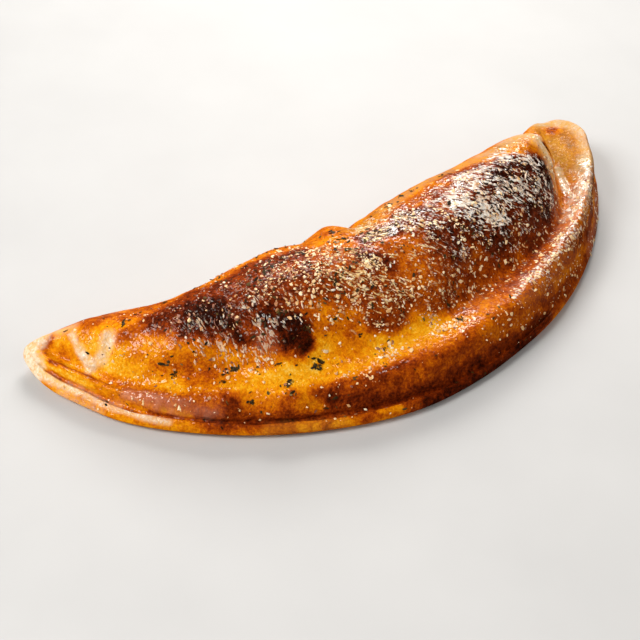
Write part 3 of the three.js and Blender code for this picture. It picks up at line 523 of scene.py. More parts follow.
    ('cheese_web_and_highlight', 0.26, 1.0, 20, 0.6, 1.0, [(4.71, 0.5107), (14.6, 0.5131), (23.69, 0.4726), (32.85, 0.4057)]),
    ('cheese_web_and_highlight', 0.2, 1.0, 9, 0.7, 1.0, [(-0.96, 0.537), (7.94, 0.5752)]),
    ('cheese_web_and_highlight', 0.48, 1.0, 11, 0.6, 1.0, [(18.54, 0.5442), (22.67, 0.5394)]),
    ('cheese_web_and_highlight', 0.67, 1.0, 11, 0.6, 1.0, [(25.72, 0.5179), (29.94, 0.4797), (32.85, 0.4344)]),
    ('cheese_web_and_highlight', 0.14, 1.0, 8, 0.7, 1.0, [(36.39, 0.4248), (36.62, 0.3628), (34.75, 0.3079)]),
    ('cheese_web_and_highlight', 0.95, 1.0, 3.2, 0.8, 1.0, [(21.13, 0.5847), (26.97, 0.6038), (30.67, 0.5823)]),
    ('cheese_web_and_highlight', 0.85, 1.0, 5, 0.8, 1.0, [(18.8, 0.5537), (18.8, 0.5155)]),
    ('cheese_web_and_highlight', 0.8, 1.0, 8, 0.8, 1.0, [(19.06, 0.494), (22.16, 0.4439)]),
    ('cheese_web_and_highlight', 0.7, 1.0, 5, 0.8, 1.0, [(30.43, 0.4916), (32.61, 0.4558), (34.04, 0.4177)]),
    ('cheese_web_and_highlight', 0.64, 1.0, 3, 0.9, 1.0, [(24.71, 0.5084), (26.47, 0.463)]),
    ('cheese_web_and_highlight', 0.64, 1.0, 5.0, 0.7, 1.0, [(37.31, 0.5752), (38.46, 0.5155), (40.04, 0.4749)]),
    ('cheese_web_and_highlight', 0.16, 1.0, 4, 0.6, 1.0, [(33.09, 0.5179), (36.62, 0.4606)]),
    ('cheese_web_and_highlight', 0.5, 1.0, 5, 0.7, 1.0, [(38.23, 0.4153), (37.54, 0.3365)]),
    ('cheese_web_and_highlight', 0.12, 1.0, 7, 0.7, 1.0, [(30.18, 0.3317), (32.37, 0.2625)]),
    ('cheese_web_and_highlight', 0.6, 1.0, 5, 0.7, 1.0, [(-5.01, 0.6778), (-6.35, 0.5823)]),
    ('cheese_web_and_highlight', 0.35, 1.0, 6, 0.7, 1.0, [(-2.58, 0.5704), (4.71, 0.5752)]),
    ('cheese_web_and_highlight', 0.16, 1.0, 4, 0.7, 1.0, [(10.62, 0.642), (17.23, 0.6301), (22.42, 0.6134)]),
    ('cheese_web_and_highlight', 0.6, 1.0, 4.2, 0.8, 1.0, [(-33.23, 0.3795), (-32.26, 0.327)]),
    ('cheese_web_and_highlight', 0.5, 1.0, 2.6, 0.8, 1.0, [(-31.53, 0.3866), (-29.07, 0.3842), (-27.07, 0.3604)]),
    ('cheese_web_and_highlight', 0.0, 1.0, 5, 0.6, 1.0, [(-27.07, 0.3389), (-25.81, 0.3055)]),
    # painted highlight: small bright patches of the web along the crest of the right roll
    ('cheese_web_and_highlight', 0.5, 1.0, 5.5, 0.6, 1.0, [(51.99, 0.2339), (46.28, 0.2243), (40.71, 0.2124)]),
    ('cheese_web_and_highlight', 0.4, 1.0, 5, 0.7, 1.6, [(38.0, 0.2005), (31.89, 0.1862), (27.72, 0.1814)]),
    ('cheese_web_and_highlight', 0.05, 1.0, 7, 0.7, 1.0, [(25.97, 0.148), (20.36, 0.1647), (15.66, 0.1933), (13.01, 0.1933)]),
    ('cheese_web_and_highlight', 0.52, 1.0, 2.4, 0.7, 2.4, [(26.97, 0.1838), (29.69, 0.1742), (32.61, 0.1647)]),
    ('cheese_web_and_highlight', 0.52, 1.0, 2.4, 0.7, 2.4, [(19.58, 0.1981), (22.93, 0.1909), (25.97, 0.1838)]),
    ('cheese_web_and_highlight', 0.52, 1.0, 2.2, 0.7, 2.4, [(13.28, 0.1933), (15.92, 0.1957), (18.54, 0.1933)]),
    ('cheese_web_and_highlight', 0.5, 1.0, 2, 0.6, 2, [(10.89, 0.1957), (12.48, 0.1838)]),
    ('cheese_web_and_highlight', 0.3, 1.0, 4, 0.8, 1.0, [(51.99, 0.0835), (45.03, 0.0549), (37.31, 0.043)]),
    ('cheese_web_and_highlight', 0.0, 1.0, 10, 0.5, 1.0, [(-68.51, 0.1647), (-65.27, 0.3652)]),
    ('cheese', 0.025, 1.0, 30, 0.5, 1.0, [(-56.86, 0.358), (-42.69, 0.2721), (-27.32, 0.2172)]),
    ('cheese', 0.04, 1.0, 26, 0.5, 1.0, [(-13.58, 0.2434), (-6.35, 0.2387), (10.35, 0.21), (29.94, 0.1981)]),
    ('cheese', 0.055, 1.0, 12, 0.6, 1.0, [(-55.46, 0.3842), (-50.41, 0.327), (-44.22, 0.2697), (-36.56, 0.2363)]),
    ('cheese', 0.13, 1.0, 12, 0.6, 1.0, [(-49.01, 0.4964), (-42.69, 0.4081), (-36.79, 0.3341)]),
    ('cheese', 0.05, 1.0, 8, 0.6, 1.0, [(-50.99, 0.3986), (-46.34, 0.3508)]),
    ('cheese', 0.1, 1.0, 8, 0.7, 1.0, [(-50.99, 0.2172), (-47.38, 0.2124), (-44.86, 0.1933)]),
    ('cheese', 0.14, 1.0, 14, 0.5, 1.0, [(-44.86, 0.4845), (-39.79, 0.4702), (-35.38, 0.4678)]),
    ('cheese', 0.42, 1.0, 12, 0.6, 1.0, [(-33.23, 0.4845), (-25.81, 0.4869)]),
    ('cheese', 0.34, 1.0, 7, 0.7, 1.0, [(-36.32, 0.3986), (-33.23, 0.3675)]),
    ('cheese', 0.15, 1.0, 9, 0.6, 1.0, [(-47.18, 0.4726), (-41.14, 0.4248), (-37.02, 0.4177)]),
    ('cheese', 0.19, 1.0, 10, 0.6, 1.0, [(-37.02, 0.6516), (-26.31, 0.6516)]),
    ('cheese', 0.66, 1.0, 14, 0.5, 1.0, [(-24.03, 0.5442), (-18.86, 0.5322)]),
    ('cheese', 1.0, 1.0, 14, 0.5, 1.0, [(-18.33, 0.506), (-13.58, 0.4654), (-9.58, 0.4129)]),
    ('cheese', 0.7, 1.0, 8, 0.6, 1.0, [(-21.2, 0.5465), (-15.44, 0.5227)]),
    ('cheese', 0.42, 1.0, 12, 0.5, 1.0, [(-20.68, 0.4224), (-11.45, 0.3747), (-3.12, 0.3699)]),
    ('cheese', 0.3, 1.0, 16, 0.5, 1.0, [(0.67, 0.5632), (9.28, 0.506), (19.58, 0.4678)]),
    ('cheese', 0.15, 1.0, 14, 0.6, 1.0, [(22.67, 0.5394), (29.69, 0.4964), (32.37, 0.4224)]),
    ('cheese', 0.22, 1.0, 14, 0.6, 1.0, [(3.64, 0.4153), (13.81, 0.3771), (24.71, 0.3294)]),
    ('cheese', 0.3, 1.0, 8, 0.7, 1.0, [(-1.77, 0.3294), (10.89, 0.2912)]),
    ('cheese', 0.6, 1.0, 4, 0.7, 1.0, [(-2.85, 0.2625), (-0.14, 0.2434), (1.21, 0.21)]),
    ('cheese', 0.5, 1.0, 4, 0.7, 1.0, [(-13.32, 0.2411), (-10.92, 0.2267)]),
    ('cheese', 0.4, 1.0, 3.5, 0.7, 1.0, [(-19.64, 0.1742), (-18.07, 0.1551)]),
    ('cheese', 0.4, 1.0, 4, 0.7, 1.0, [(-3.93, 0.3317), (-2.85, 0.3055)]),
    ('cheese', 0.22, 1.0, 8, 0.8, 1.0, [(18.28, 0.2315), (24.2, 0.2005)]),
    ('cheese', 0.36, 1.0, 8, 0.8, 1.0, [(26.97, 0.1885), (33.09, 0.1933), (40.71, 0.1909), (49.7, 0.2124)]),
    ('cheese', 0.7, 1.0, 2.4, 0.7, 1.0, [(13.81, 0.1981), (18.02, 0.1885), (22.93, 0.179), (27.72, 0.1718), (32.13, 0.1623)]),
    ('cheese', 0.26, 1.0, 4, 0.8, 1.0, [(53.47, 0.0549), (45.66, 0.043), (37.31, 0.043), (28.46, 0.0788)]),
    ('cheese', 0.3, 1.0, 3.5, 0.8, 1.0, [(47.31, 0.5251), (45.45, 0.4487), (42.03, 0.3341), (40.93, 0.2673)]),
    ('cheese', 0.14, 1.0, 8, 0.8, 1.0, [(3.1, 0.1671), (14.6, 0.136), (24.96, 0.1122)]),
    ('cheese', 0.0, 1.0, 14, 0.4, 1.0, [(-68.51, 0.1647), (-65.27, 0.3652)]),
    ('cheese', 0.0, 1.0, 12, 0.4, 1.0, [(64.79, 0.4368), (57.11, 0.2649)]),
    ('cheese', 0.02, 1.0, 7, 0.6, 1.0, [(-29.07, 0.3437), (-26.31, 0.3126)]),
    ('cheese', 0.26, 1.0, 5, 0.7, 1.0, [(6.87, 0.6587), (17.76, 0.6348), (23.95, 0.6158)]),
    ('cheese', 0.01, 1.0, 5, 0.5, 1.0, [(-62.11, 0.0764), (-49.61, 0.0406), (-33.23, 0.0286), (-13.32, 0.0525), (10.89, 0.074)]),
    ('cheese', 0.0, 1.0, 8, 0.6, 1.0, [(-10.92, 0.136), (-5.81, 0.1241), (-0.41, 0.1169)]),
    ('shred', 0.04, 1.0, 18, 0.5, 1.0, [(-45.07, 0.4224), (-33.47, 0.4272), (-20.42, 0.4439), (-1.5, 0.4177), (19.06, 0.3556)]),
    ('shred', 0.14, 1.0, 16, 0.6, 1.0, [(19.06, 0.5489), (25.97, 0.4964), (33.8, 0.4153)]),
    ('shred', 0.1, 1.0, 12, 0.6, 1.0, [(-23.0, 0.5465), (-16.23, 0.4964), (-10.38, 0.4272)]),
    ('shred', 0.25, 1.0, 5, 0.7, 1.0, [(-5.28, 0.685), (-6.62, 0.5609)]),
    ('shred', 0.2, 1.0, 7, 0.7, 1.0, [(-2.58, 0.5704), (4.71, 0.5752)]),
    ('shred', 0.14, 1.0, 11, 0.6, 1.0, [(-44.65, 0.4535), (-39.56, 0.4391), (-33.23, 0.4582)]),
    ('shred', 0.14, 1.0, 9, 0.6, 1.0, [(-44.43, 0.3842), (-40.69, 0.3317), (-36.56, 0.3007)]),
    ('shred', 0.12, 1.0, 6, 0.6, 1.0, [(51.8, 0.2267), (45.87, 0.21), (39.36, 0.2029), (31.89, 0.1933), (26.97, 0.1885)]),
    ('shred', 0.08, 1.0, 3, 0.7, 1.0, [(31.16, 0.148), (26.22, 0.1456), (20.87, 0.1504), (14.87, 0.1814)]),
    ('shred', 0.0, 1.0, 9, 0.5, 1.0, [(65.99, 0.5251), (61.31, 0.4129), (58.09, 0.3556)]),
    ('dim', 0.95, 1.0, 13, 0.5, 1.0, [(-47.38, 0.4726), (-43.13, 0.4773), (-37.26, 0.4702)]),
    ('dim', 0.95, 1.0, 13, 0.5, 1.0, [(-42.69, 0.42), (-37.02, 0.4057), (-33.23, 0.4344)]),
    ('dim', 0.3, 1.0, 9, 0.6, 1.0, [(-33.23, 0.4749), (-26.82, 0.4916)]),
    ('dim', 0.75, 1.0, 8, 0.6, 1.0, [(-32.26, 0.3532), (-26.82, 0.327)]),
    ('dim', 0.4, 1.0, 7, 0.7, 1.0, [(-44.0, 0.3747), (-40.69, 0.327)]),
    ('dim', 0.35, 1.0, 8, 0.7, 1.0, [(5.79, 0.4248), (3.64, 0.3437)]),
    ('dim', 0.3, 1.0, 8, 0.7, 1.0, [(-0.41, 0.4391), (-0.41, 0.3819)]),
    ('herbs', 0.05, 1.0, 30, 0.5, 1.0, [(-57.03, 0.3819), (-42.69, 0.2888), (-27.07, 0.2387), (-9.85, 0.2554), (6.06, 0.222)]),
    ('herbs', 0.7, 1.0, 16, 0.5, 1.0, [(-39.33, 0.5346), (-31.53, 0.5489), (-22.75, 0.5561), (-14.91, 0.5418)]),
    ('herbs', 0.7, 1.0, 14, 0.6, 1.0, [(-25.81, 0.4773), (-20.16, 0.4582)]),
    ('herbs', 0.18, 1.0, 16, 0.6, 1.0, [(-45.71, 0.4821), (-36.79, 0.3962), (-28.32, 0.3675)]),
    ('herbs', 0.5, 1.0, 12, 0.6, 1.0, [(-10.65, 0.4916), (-12.79, 0.6086)]),
    ('herbs', 0.16, 1.0, 18, 0.6, 1.0, [(-3.12, 0.494), (15.13, 0.4988), (25.72, 0.4558)]),
    ('herbs', 0.3, 1.0, 5, 0.6, 1.0, [(-45.71, 0.6635), (-36.09, 0.6969), (-21.72, 0.747)]),
    ('herbs', 0.34, 1.0, 4, 0.7, 1.0, [(-5.55, 0.6921), (4.98, 0.7136), (20.62, 0.6945), (29.2, 0.6611)]),
    ('herbs', 0.0, 1.0, 12, 0.5, 1.0, [(-67.09, 0.2148), (-62.84, 0.1337)]),
    ('herbs', 0.0, 1.0, 14, 0.5, 1.0, [(62.3, 0.4487), (45.24, 0.2005)]),
]
# ridges (+) and grooves (-): (height in mm, radius in mm, raggedness, [(phi, t), ...])
RELIEF = [
    (0.9, 1.0, 0.15, [(-63.4, 0.222), (-59.99, 0.2005), (-56.52, 0.1838), (-53.83, 0.1718)]),
    (-1.0, 1.6, 0.5, [(-62.69, 0.2673), (-58.87, 0.2267), (-55.64, 0.222), (-53.46, 0.2029)]),
    (-0.7, 0.9, 0.3, [(-65.27, 0.1575), (-60.46, 0.1313), (-56.17, 0.1122), (-50.6, 0.0907), (-45.07, 0.0883)]),
    (-0.5, 0.8, 0.4, [(-45.07, 0.0883), (-36.09, 0.0764), (-29.81, 0.074), (-23.52, 0.074), (-15.97, 0.0764), (-7.97, 0.074)]),
    (0.9, 1.8, 0.4, [(-63.12, 0.4344), (-61.07, 0.3413), (-59.35, 0.2936)]),
    (-0.7, 1.8, 0.5, [(-60.15, 0.4033), (-58.71, 0.3294)]),
    (0.7, 2.6, 0.4, [(-59.03, 0.4606), (-58.21, 0.3819), (-58.38, 0.3246)]),
    (0.9, 1.5, 1.2, [(48.51, 0.4153), (53.65, 0.358), (50.09, 0.3031), (45.03, 0.2578)]),
    (-0.7, 1.3, 0.4, [(54.01, 0.3484), (49.31, 0.2792), (44.61, 0.2411)]),
    (-0.8, 0.9, 0.2, [(50.67, 0.5704), (48.51, 0.5084), (48.71, 0.4702), (49.11, 0.432)]),
    (0.8, 1.6, 0.6, [(51.99, 0.2339), (49.31, 0.1933)]),
    (-0.7, 1.3, 0.6, [(49.11, 0.2267), (46.9, 0.1909)]),
    (0.7, 1.5, 0.6, [(46.28, 0.2267), (44.19, 0.1838)]),
    (-0.6, 1.2, 0.6, [(43.33, 0.222), (41.37, 0.1766)]),
    (0.7, 1.6, 0.6, [(40.93, 0.2291), (38.91, 0.1742)]),
    (-0.6, 1.3, 0.6, [(37.54, 0.2243), (36.39, 0.1695)]),
    (0.6, 1.6, 0.6, [(34.28, 0.2172), (33.8, 0.1599)]),
    (0.6, 3, 0.6, [(-33.71, 0.3461), (-32.5, 0.315)]),
    (0.9, 4, 0.6, [(-29.32, 0.3604), (-26.82, 0.3437)]),
    (-0.7, 2.5, 0.6, [(-31.77, 0.3007), (-27.07, 0.2673)]),
    (0.55, 1.3, 0.8, [(-42.69, 0.4081), (-38.87, 0.2864)]),
    (0.55, 1.3, 0.8, [(-40.69, 0.3866), (-37.26, 0.2768)]),
    (0.55, 1.3, 0.8, [(-37.95, 0.3532), (-35.61, 0.2649)]),
    (0.55, 1.3, 0.8, [(-44.0, 0.3938), (-41.36, 0.3031)]),
    (0.55, 1.3, 0.8, [(-45.5, 0.389), (-43.13, 0.315)]),
    (0.6, 2.5, 0.6, [(3.64, 0.4153), (2.56, 0.3484)]),
    (-0.5, 2, 0.6, [(7.14, 0.3914), (5.79, 0.3126)]),
    (0.5, 2.2, 0.8, [(34.28, 0.5489), (34.75, 0.4702), (35.69, 0.4129)]),
    (-0.6, 1.8, 0.8, [(31.16, 0.5394), (31.89, 0.4726), (33.09, 0.4153)]),
    (0.5, 2.5, 0.9, [(22.67, 0.5394), (24.71, 0.4439)]),
    (-0.4, 2, 0.9, [(19.06, 0.5012), (23.18, 0.401)]),
    (-0.6, 2.5, 0.6, [(-8.51, 0.6348), (-8.24, 0.5418)]),
    (0.5, 3, 0.6, [(-15.7, 0.6396), (-13.32, 0.5561)]),
]
# bits of leaf: (phi, t, spread in mm, number, length in mm)
LEAVES = [
    (-24.28, 0.2339, 2.4, 9, 2.6),
    (-29.07, 0.179, 2.6, 7, 2.4),
    (-29.07, 0.1504, 1.6, 4, 1.9),
    (-34.9, 0.1384, 1.2, 3, 2.6),
    (-37.26, 0.2625, 1.6, 5, 2.2),
    (-38.87, 0.2554, 1.2, 3, 2.2),
    (-38.87, 0.2148, 1.2, 3, 1.9),
    (-56.69, 0.5179, 1.2, 3, 2.3),
    (-47.59, 0.315, 1.2, 3, 2.0),
    (-46.34, 0.2649, 1.6, 4, 2.2),
    (1.75, 0.2291, 1.6, 5, 1.9),
    (-52.15, 0.6539, 1.0, 3, 2.3),
    (-33.95, 0.2434, 1.0, 2, 1.8),
    (-16.23, 0.3007, 1.0, 2, 2.0),
    (-13.05, 0.2411, 1.2, 3, 1.7),
    (-14.11, 0.1862, 1.2, 3, 1.9),
    (-4.2, 0.284, 1.0, 2, 1.7),
    (-57.2, 0.3126, 0.8, 1, 1.5),
    (-50.99, 0.3604, 0.8, 1, 1.6),
    (-29.81, 0.4105, 2, 5, 2.0),
    (-37.02, 0.4057, 1.8, 4, 2.0),
    (-25.81, 0.3461, 2.0, 5, 1.8),
    (-43.78, 0.4964, 1.2, 3, 1.8),
    (-12.79, 0.6134, 1.4, 3, 2.0),
    (-13.32, 0.6754, 1.2, 3, 2.2),
    (-23.77, 0.611, 1.2, 3, 2.0),
    (-33.23, 0.6014, 1.2, 2, 2.0),
    (-39.56, 0.5704, 1.2, 3, 1.8),
    (15.13, 0.7279, 1.0, 2, 1.7),
    (7.14, 0.7064, 1.0, 2, 1.8),
    (-13.85, 0.5561, 1.4, 4, 2.2),
    (-7.97, 0.3317, 1.2, 3, 1.7),
    (21.9, 0.3604, 1.0, 2, 1.8),
    (41.15, 0.2267, 0.8, 2, 1.6),
    (-19.12, 0.1695, 1.0, 2, 1.5),
]

# ------------------------------------------------------------------ numbers of the stage
# crumbs of cheese: how many to the square millimetre at full density and at most, usual size in mm, its spread, least, most, fineness
N_CHEESE = [(0.75, 7000, 0.62, 0.30, 0.35, 1.1, 0), (0.46, 5200, 1.12, 0.30, 0.55, 1.9, 1), (0.040, 250, 1.5, 0.18, 1.2, 1.9, 2)]
N_SHRED = (0.5, 8500)
N_HERB = (0.16, 1400)
FLOOR_A, FLOOR_B = (189, 190, 192), (194, 195, 197)
# lamps: (name, degrees right of the camera's direction, degrees up, distance, width, height, radiance, colour), shows in gloss
LIGHTS = [
    (("key_left", -112, 44, 2.0, 0.9, 0.9, 15.0, (1.0, 0.97, 0.92)), True),
    (("back_box", 0, 31, 2.0, 1.1, 0.75, 16.5, (1.0, 0.96, 0.90)), True),
    (("front_fill", -170, 40, 1.8, 1.4, 1.0, 1.6, (1.0, 0.94, 0.86)), False),
    (("right_fill", 88, 34, 1.9, 1.2, 0.9, 1.8, (1.0, 0.94, 0.86)), False),
]
WORLD = ((1.0, 0.98, 0.95, 1.0), 0.14)


field = {
    "done": np.full(len(P0), 0.36),
    "pale": np.zeros(len(P0)),
    # painted sheen: a pinkish tint for the front light's reflection
    "painted_sheen": np.zeros(len(P0)),
    "wet": 0.45 - 0.31 * np.clip((T0 - 0.56) / 0.10, 0, 1),
    "olive_dull_and_shade": np.zeros(len(P0)),
    # olive dulling of the colour, and painted shade in the ear's dish
    "cheese": np.zeros(len(P0)),
    "herbs": np.zeros(len(P0)),
    "streak": np.zeros(len(P0)),
    # the cream web of melted cheese; over the dome and along the right roll it is painted highlight as well
    "cheese_web_and_highlight": np.zeros(len(P0)),
    "shred": np.zeros(len(P0)),
    "dim": np.zeros(len(P0)),      # where the cheese has melted to dull pinkish flecks
}
for name, target, opacity, radius, soft, ragged, pts in PAINT:
    m = mask(radius, soft, ragged, pts) * opacity
    field[name] += (target - field[name]) * m
# the hidden back and the underside: plain golden-tan dough, browner where it lay on the tray
EDGE = np.interp(F0, [-61, -54, -46, -36, -22, -7, 7, 22, 33, 41, 50, 66], [0.58, 0.69, 0.70, 0.77, 0.74, 0.72, 0.74, 0.74, 0.71, 0.67, 0.66, 0.71])
back = np.clip((T0 - EDGE + 0.03 * rough_wide) / 0.14, 0, 1)
back = back * back * (3 - 2 * back)
tone = fbm(P0, 30, 2, 31)
outer = np.clip((F0 - 46.0) / 10.0, 0, 1) * np.clip((0.085 - T0) / 0.05, 0, 1)
field["done"] += (np.clip(0.42 + 0.22 * tone + 0.12 * rough_wide, 0.2, 0.75) - field["done"]) * outer
field["pale"] += (np.clip(0.34 - 0.30 * tone, 0.0, 0.6) - field["pale"]) * outer
for name in ("cheese", "shred", "cheese_web_and_highlight"):
    field[name] *= 1 - 0.85 * outer
hidden = dict(
    done=np.clip(0.56 + 0.24 * tone + 0.16 * rough_wide - 0.12 * np.clip((0.99 - T0) / 0.2, 0, 1), 0.28, 0.82),
    pale=np.clip(0.16 - 0.26 * tone + 0.10 * rough_wide, 0.0, 0.45), painted_sheen=0.0, wet=0.08, olive_dull_and_shade=0.0, cheese=0.0, herbs=0.0, streak=0.0, cheese_web_and_highlight=0.0, shred=0.0, dim=0.0)
for name, value in hidden.items():
    field[name] += (value - field[name]) * back
    if name in ("done", "pale", "wet"):
        field[name][BOTTOM] = dict(done=0.62, pale=0.15, wet=0.15)[name]

# ------------------------------------------------------------------ relief, in millimetres along the normal
foot = np.clip((P0[:, 2] - 2.0) / 6.0, 0, 1) * ~BOTTOM
relief = 0.50 * fbm(P0, 38, 2, 51) + 0.34 * fbm(P0, 15, 2, 61) + 0.16 * fbm(P0, 6.5, 2, 71)
crisp = np.clip((field["done"] - 0.45) / 0.4, 0, 1)      # burnt skin is rougher
relief += crisp * (0.26 * fbm(P0, 5.0, 2, 81) + 0.10 * fbm(P0, 2.8, 1, 91))
# small bumps where the crust shines
relief += np.clip((field["wet"] - 0.45) / 0.35, 0, 1) * (0.20 * fbm(P0, 4.2, 1, 171) + 0.14 * fbm(P0, 2.3, 1, 181))
relief *= foot
# long shallow wrinkles in the skin of the dome, running from the back to the front
STRETCH = np.array([[0.80, 0.60, 0], [-0.60, 0.80, 0], [0, 0, 1.0]])
along = (P0 @ STRETCH.T) / np.array([2.8, 9.0, 6.0])
relief += field["streak"] * 0.55 * lattice_noise(along, 131) * foot
# a web of melted cheese stands a little proud
web = 1 - np.abs(lattice_noise((P0 @ STRETCH.T) / np.array([2.4, 6.0, 4.5]), 151)) * 3.2
relief += field["cheese_web_and_highlight"] * 0.22 * np.clip(web, 0, 1) * foot
for height, radius, ragged, pts in RELIEF:
    d = distance(route(pts), radius * 3.0)
    d = np.maximum(d + ragged * rough_fine * radius * 0.25, 0)
    fade = np.clip((radius * 3.0 - d) / radius, 0, 1)
    relief += height * np.exp(-((d / radius) ** 2)) * fade * np.clip(P0[:, 2] / 3, 0, 1)
P1 = P0 + N0 * relief[:, None]
P1[:, 2] = np.maximum(P1[:, 2], 0)

# ------------------------------------------------------------------ the crust's mesh
def pole(side):
    phi = PHI_L + 1e-6 if side == 0 else PHI_R - 1e-6
    w, z, rf, _ = [v[0] for v in controls([phi])]
    return plan(phi, rf - w.mean(), z.mean())


def settle(at, ring):
    """The end point moves with the mean shift of the ring of points round it."""
    return at + (P1[ring] - P0[ring]).mean(0)


verts = np.vstack([P1, settle(pole(0), slice(0, N_TOP)), settle(pole(1), slice((ROWS - 1) * COLS, (ROWS - 1) * COLS + N_TOP))])
i, j = np.meshgrid(np.arange(ROWS - 1), np.arange(COLS), indexing="ij")
jn = (j + 1) % COLS
quads = np.stack([i * COLS + j, (i + 1) * COLS + j, (i + 1) * COLS + jn, i * COLS + jn], -1).reshape(-1, 4)
L, R, last = len(P1), len(P1) + 1, (ROWS - 1) * COLS
k = np.arange(COLS)
kn = (k + 1) % COLS
caps = np.vstack([np.stack([np.full(COLS, L), k, kn], -1), np.stack([np.full(COLS, R), last + kn, last + k], -1)])


def mesh_object(name, verts_mm, faces, smooth=True):
    me = bpy.data.meshes.new(name)
    me.from_pydata((np.asarray(verts_mm) / 1000.0).tolist(), [], faces)
    me.validate()
    me.update()
    me.polygons.foreach_set("use_smooth", [smooth] * len(me.polygons))
    ob = bpy.data.objects.new(name, me)
    bpy.context.scene.collection.objects.link(ob)
    return ob


crust = mesh_object("calzone_crust", verts, quads.tolist() + caps.tolist())
for name in ("done", "pale", "painted_sheen", "wet", "olive_dull_and_shade", "streak", "cheese_web_and_highlight", "dim"):
    a = crust.data.attributes.new(name, "FLOAT", "POINT")
    a.data.foreach_set("value", np.r_[field[name], field[name][0], field[name][-1]].astype(np.float32))
import bmesh

bm = bmesh.new()
bm.from_mesh(crust.data)
bmesh.ops.recalc_face_normals(bm, faces=bm.faces)
bm.to_mesh(crust.data)
bm.free()
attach(crust, "root")
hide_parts("calzone")

# ------------------------------------------------------------------ scattered grains
N1 = normals_of(P1.reshape(ROWS, COLS, 3)).reshape(-1, 3)


def spots(density, rate, most, rng):
    """Random points of the top, rate * density to the square millimetre, and no more than most."""
    tri = np.vstack([quads[:, [0, 1, 2]], quads[:, [0, 2, 3]]])
    a, b, c = P1[tri[:, 0]], P1[tri[:, 1]], P1[tri[:, 2]]
    area = np.linalg.norm(np.cross(b - a, c - a), axis=1) / 2
    up = N1[tri].mean(1)[:, 2]
    wt = area * density[tri].mean(1) * np.clip((up - 0.12) / 0.3, 0, 1)
    count = min(int(rate * wt.sum()), most)
    pick = rng.choice(len(tri), count, p=wt / wt.sum())
    r = rng.random((count, 2))
    r[:, 0] = np.sqrt(r[:, 0])
    u, v, w = 1 - r[:, 0], r[:, 0] * (1 - r[:, 1]), r[:, 0] * r[:, 1]
    t = tri[pick]
    P = P1[t[:, 0]] * u[:, None] + P1[t[:, 1]] * v[:, None] + P1[t[:, 2]] * w[:, None]
    N = N1[t[:, 0]] * u[:, None] + N1[t[:, 1]] * v[:, None] + N1[t[:, 2]] * w[:, None]
    dull = field["dim"][t[:, 0]] * u + field["dim"][t[:, 1]] * v + field["dim"][t[:, 2]] * w
    return P, N / np.linalg.norm(N, axis=1)[:, None], dull


def frames(N, rng):
    """A random turn about each normal, as (count, 3, 3) axes."""
    r = rng.normal(size=N.shape)
    a = np.cross(N, r)
    a /= np.linalg.norm(a, axis=1)[:, None]
    return np.stack([a, np.cross(N, a), N], 1)


def ico(level):
    if level == 0:      # the smallest crumbs have eight faces
        v = np.array([(1, 0, 0), (-1, 0, 0), (0, 1, 0), (0, -1, 0), (0, 0, 1), (0, 0, -1)], float)
        return v, np.array([(0, 2, 4), (2, 1, 4), (1, 3, 4), (3, 0, 4), (2, 0, 5), (1, 2, 5), (3, 1, 5), (0, 3, 5)])
    bm = bmesh.new()
    bmesh.ops.create_icosphere(bm, subdivisions=level, radius=1.0)
    v = np.array([p.co[:] for p in bm.verts])
    f = np.array([[q.index for q in p.verts] for p in bm.faces])
    bm.free()
    return v, f


def scatter(P, N, size, shape, level, sink, tilt, uneven, rng):
    """Uneven pebbles: one per point, size in mm, shape (count, 3) the stretch along its own axes."""
    v, f = ico(level)
    n, m = len(P), len(v)
    A = frames(N, rng)
    lean = rng.normal(size=(n, 3)) * tilt
    A2 = A + np.cross(lean[:, None, :], A)
    A2 /= np.linalg.norm(A2, axis=2)[..., None]
    local = v[None] * shape[:, None, :] * (size / 2)[:, None, None]
    local = local * (1 + uneven * rng.normal(size=(n, m, 1)))
    world = np.einsum("nmk,nkc->nmc", local, A2)
    low = (world @ N[:, :, None])[..., 0].min(1)
    world = world + (P + N * (-low * (1 - sink))[:, None])[:, None, :]
    faces = f[None] + (np.arange(n) * m)[:, None, None]
    return world.reshape(-1, 3), faces.reshape(-1, 3), m


LOZENGE = np.array([
    (-1, 0, 0), (-0.5, 0.8, -0.2), (-0.5, -0.8, -0.2), (-0.5, 0, 0.9), (0, 1, -0.2), (0, -1, -0.2), (0, 0, 1.0),
    (0.5, 0.8, -0.2), (0.5, -0.8, -0.2), (0.5, 0, 0.9), (1, 0, 0)])
LOZENGE_F = np.array(
    [(0, 3, 1), (0, 2, 3), (0, 1, 2), (10, 7, 9), (10, 9, 8), (10, 8, 7)]
    + [t for b in (1, 4) for u, v in ((0, 2), (2, 1), (1, 0)) for t in ((b + u, b + v, b + v + 3), (b + u, b + v + 3, b + u + 3))])


def shreds(P, N, long, wide, thick, aim, rng):
    """Short bent strands lying on the surface, each near the direction of aim."""
    n, m = len(P), len(LOZENGE)
    a = aim - N * (aim * N).sum(1)[:, None]
    a /= np.linalg.norm(a, axis=1)[:, None]
    b = np.cross(N, a)
    x, y, z = (np.repeat(LOZENGE[None, :, k], n, 0) for k in range(3))
    bend = rng.normal(size=(n, 1)) * 0.35
    wob = 1 + 0.15 * rng.normal(size=(n, m))
    X = x * (long / 2)[:, None]
    Y = y * (wide / 2)[:, None] * wob + bend * (1 - x * x) * (long / 4)[:, None]
    Z = z * (thick / 2)[:, None] * wob + (thick * 0.12)[:, None]
    world = P[:, None, :] + X[..., None] * a[:, None, :] + Y[..., None] * b[:, None, :] + Z[..., None] * N[:, None, :]
    return world.reshape(-1, 3), (LOZENGE_F[None] + (np.arange(n) * m)[:, None, None]).reshape(-1, 3), m


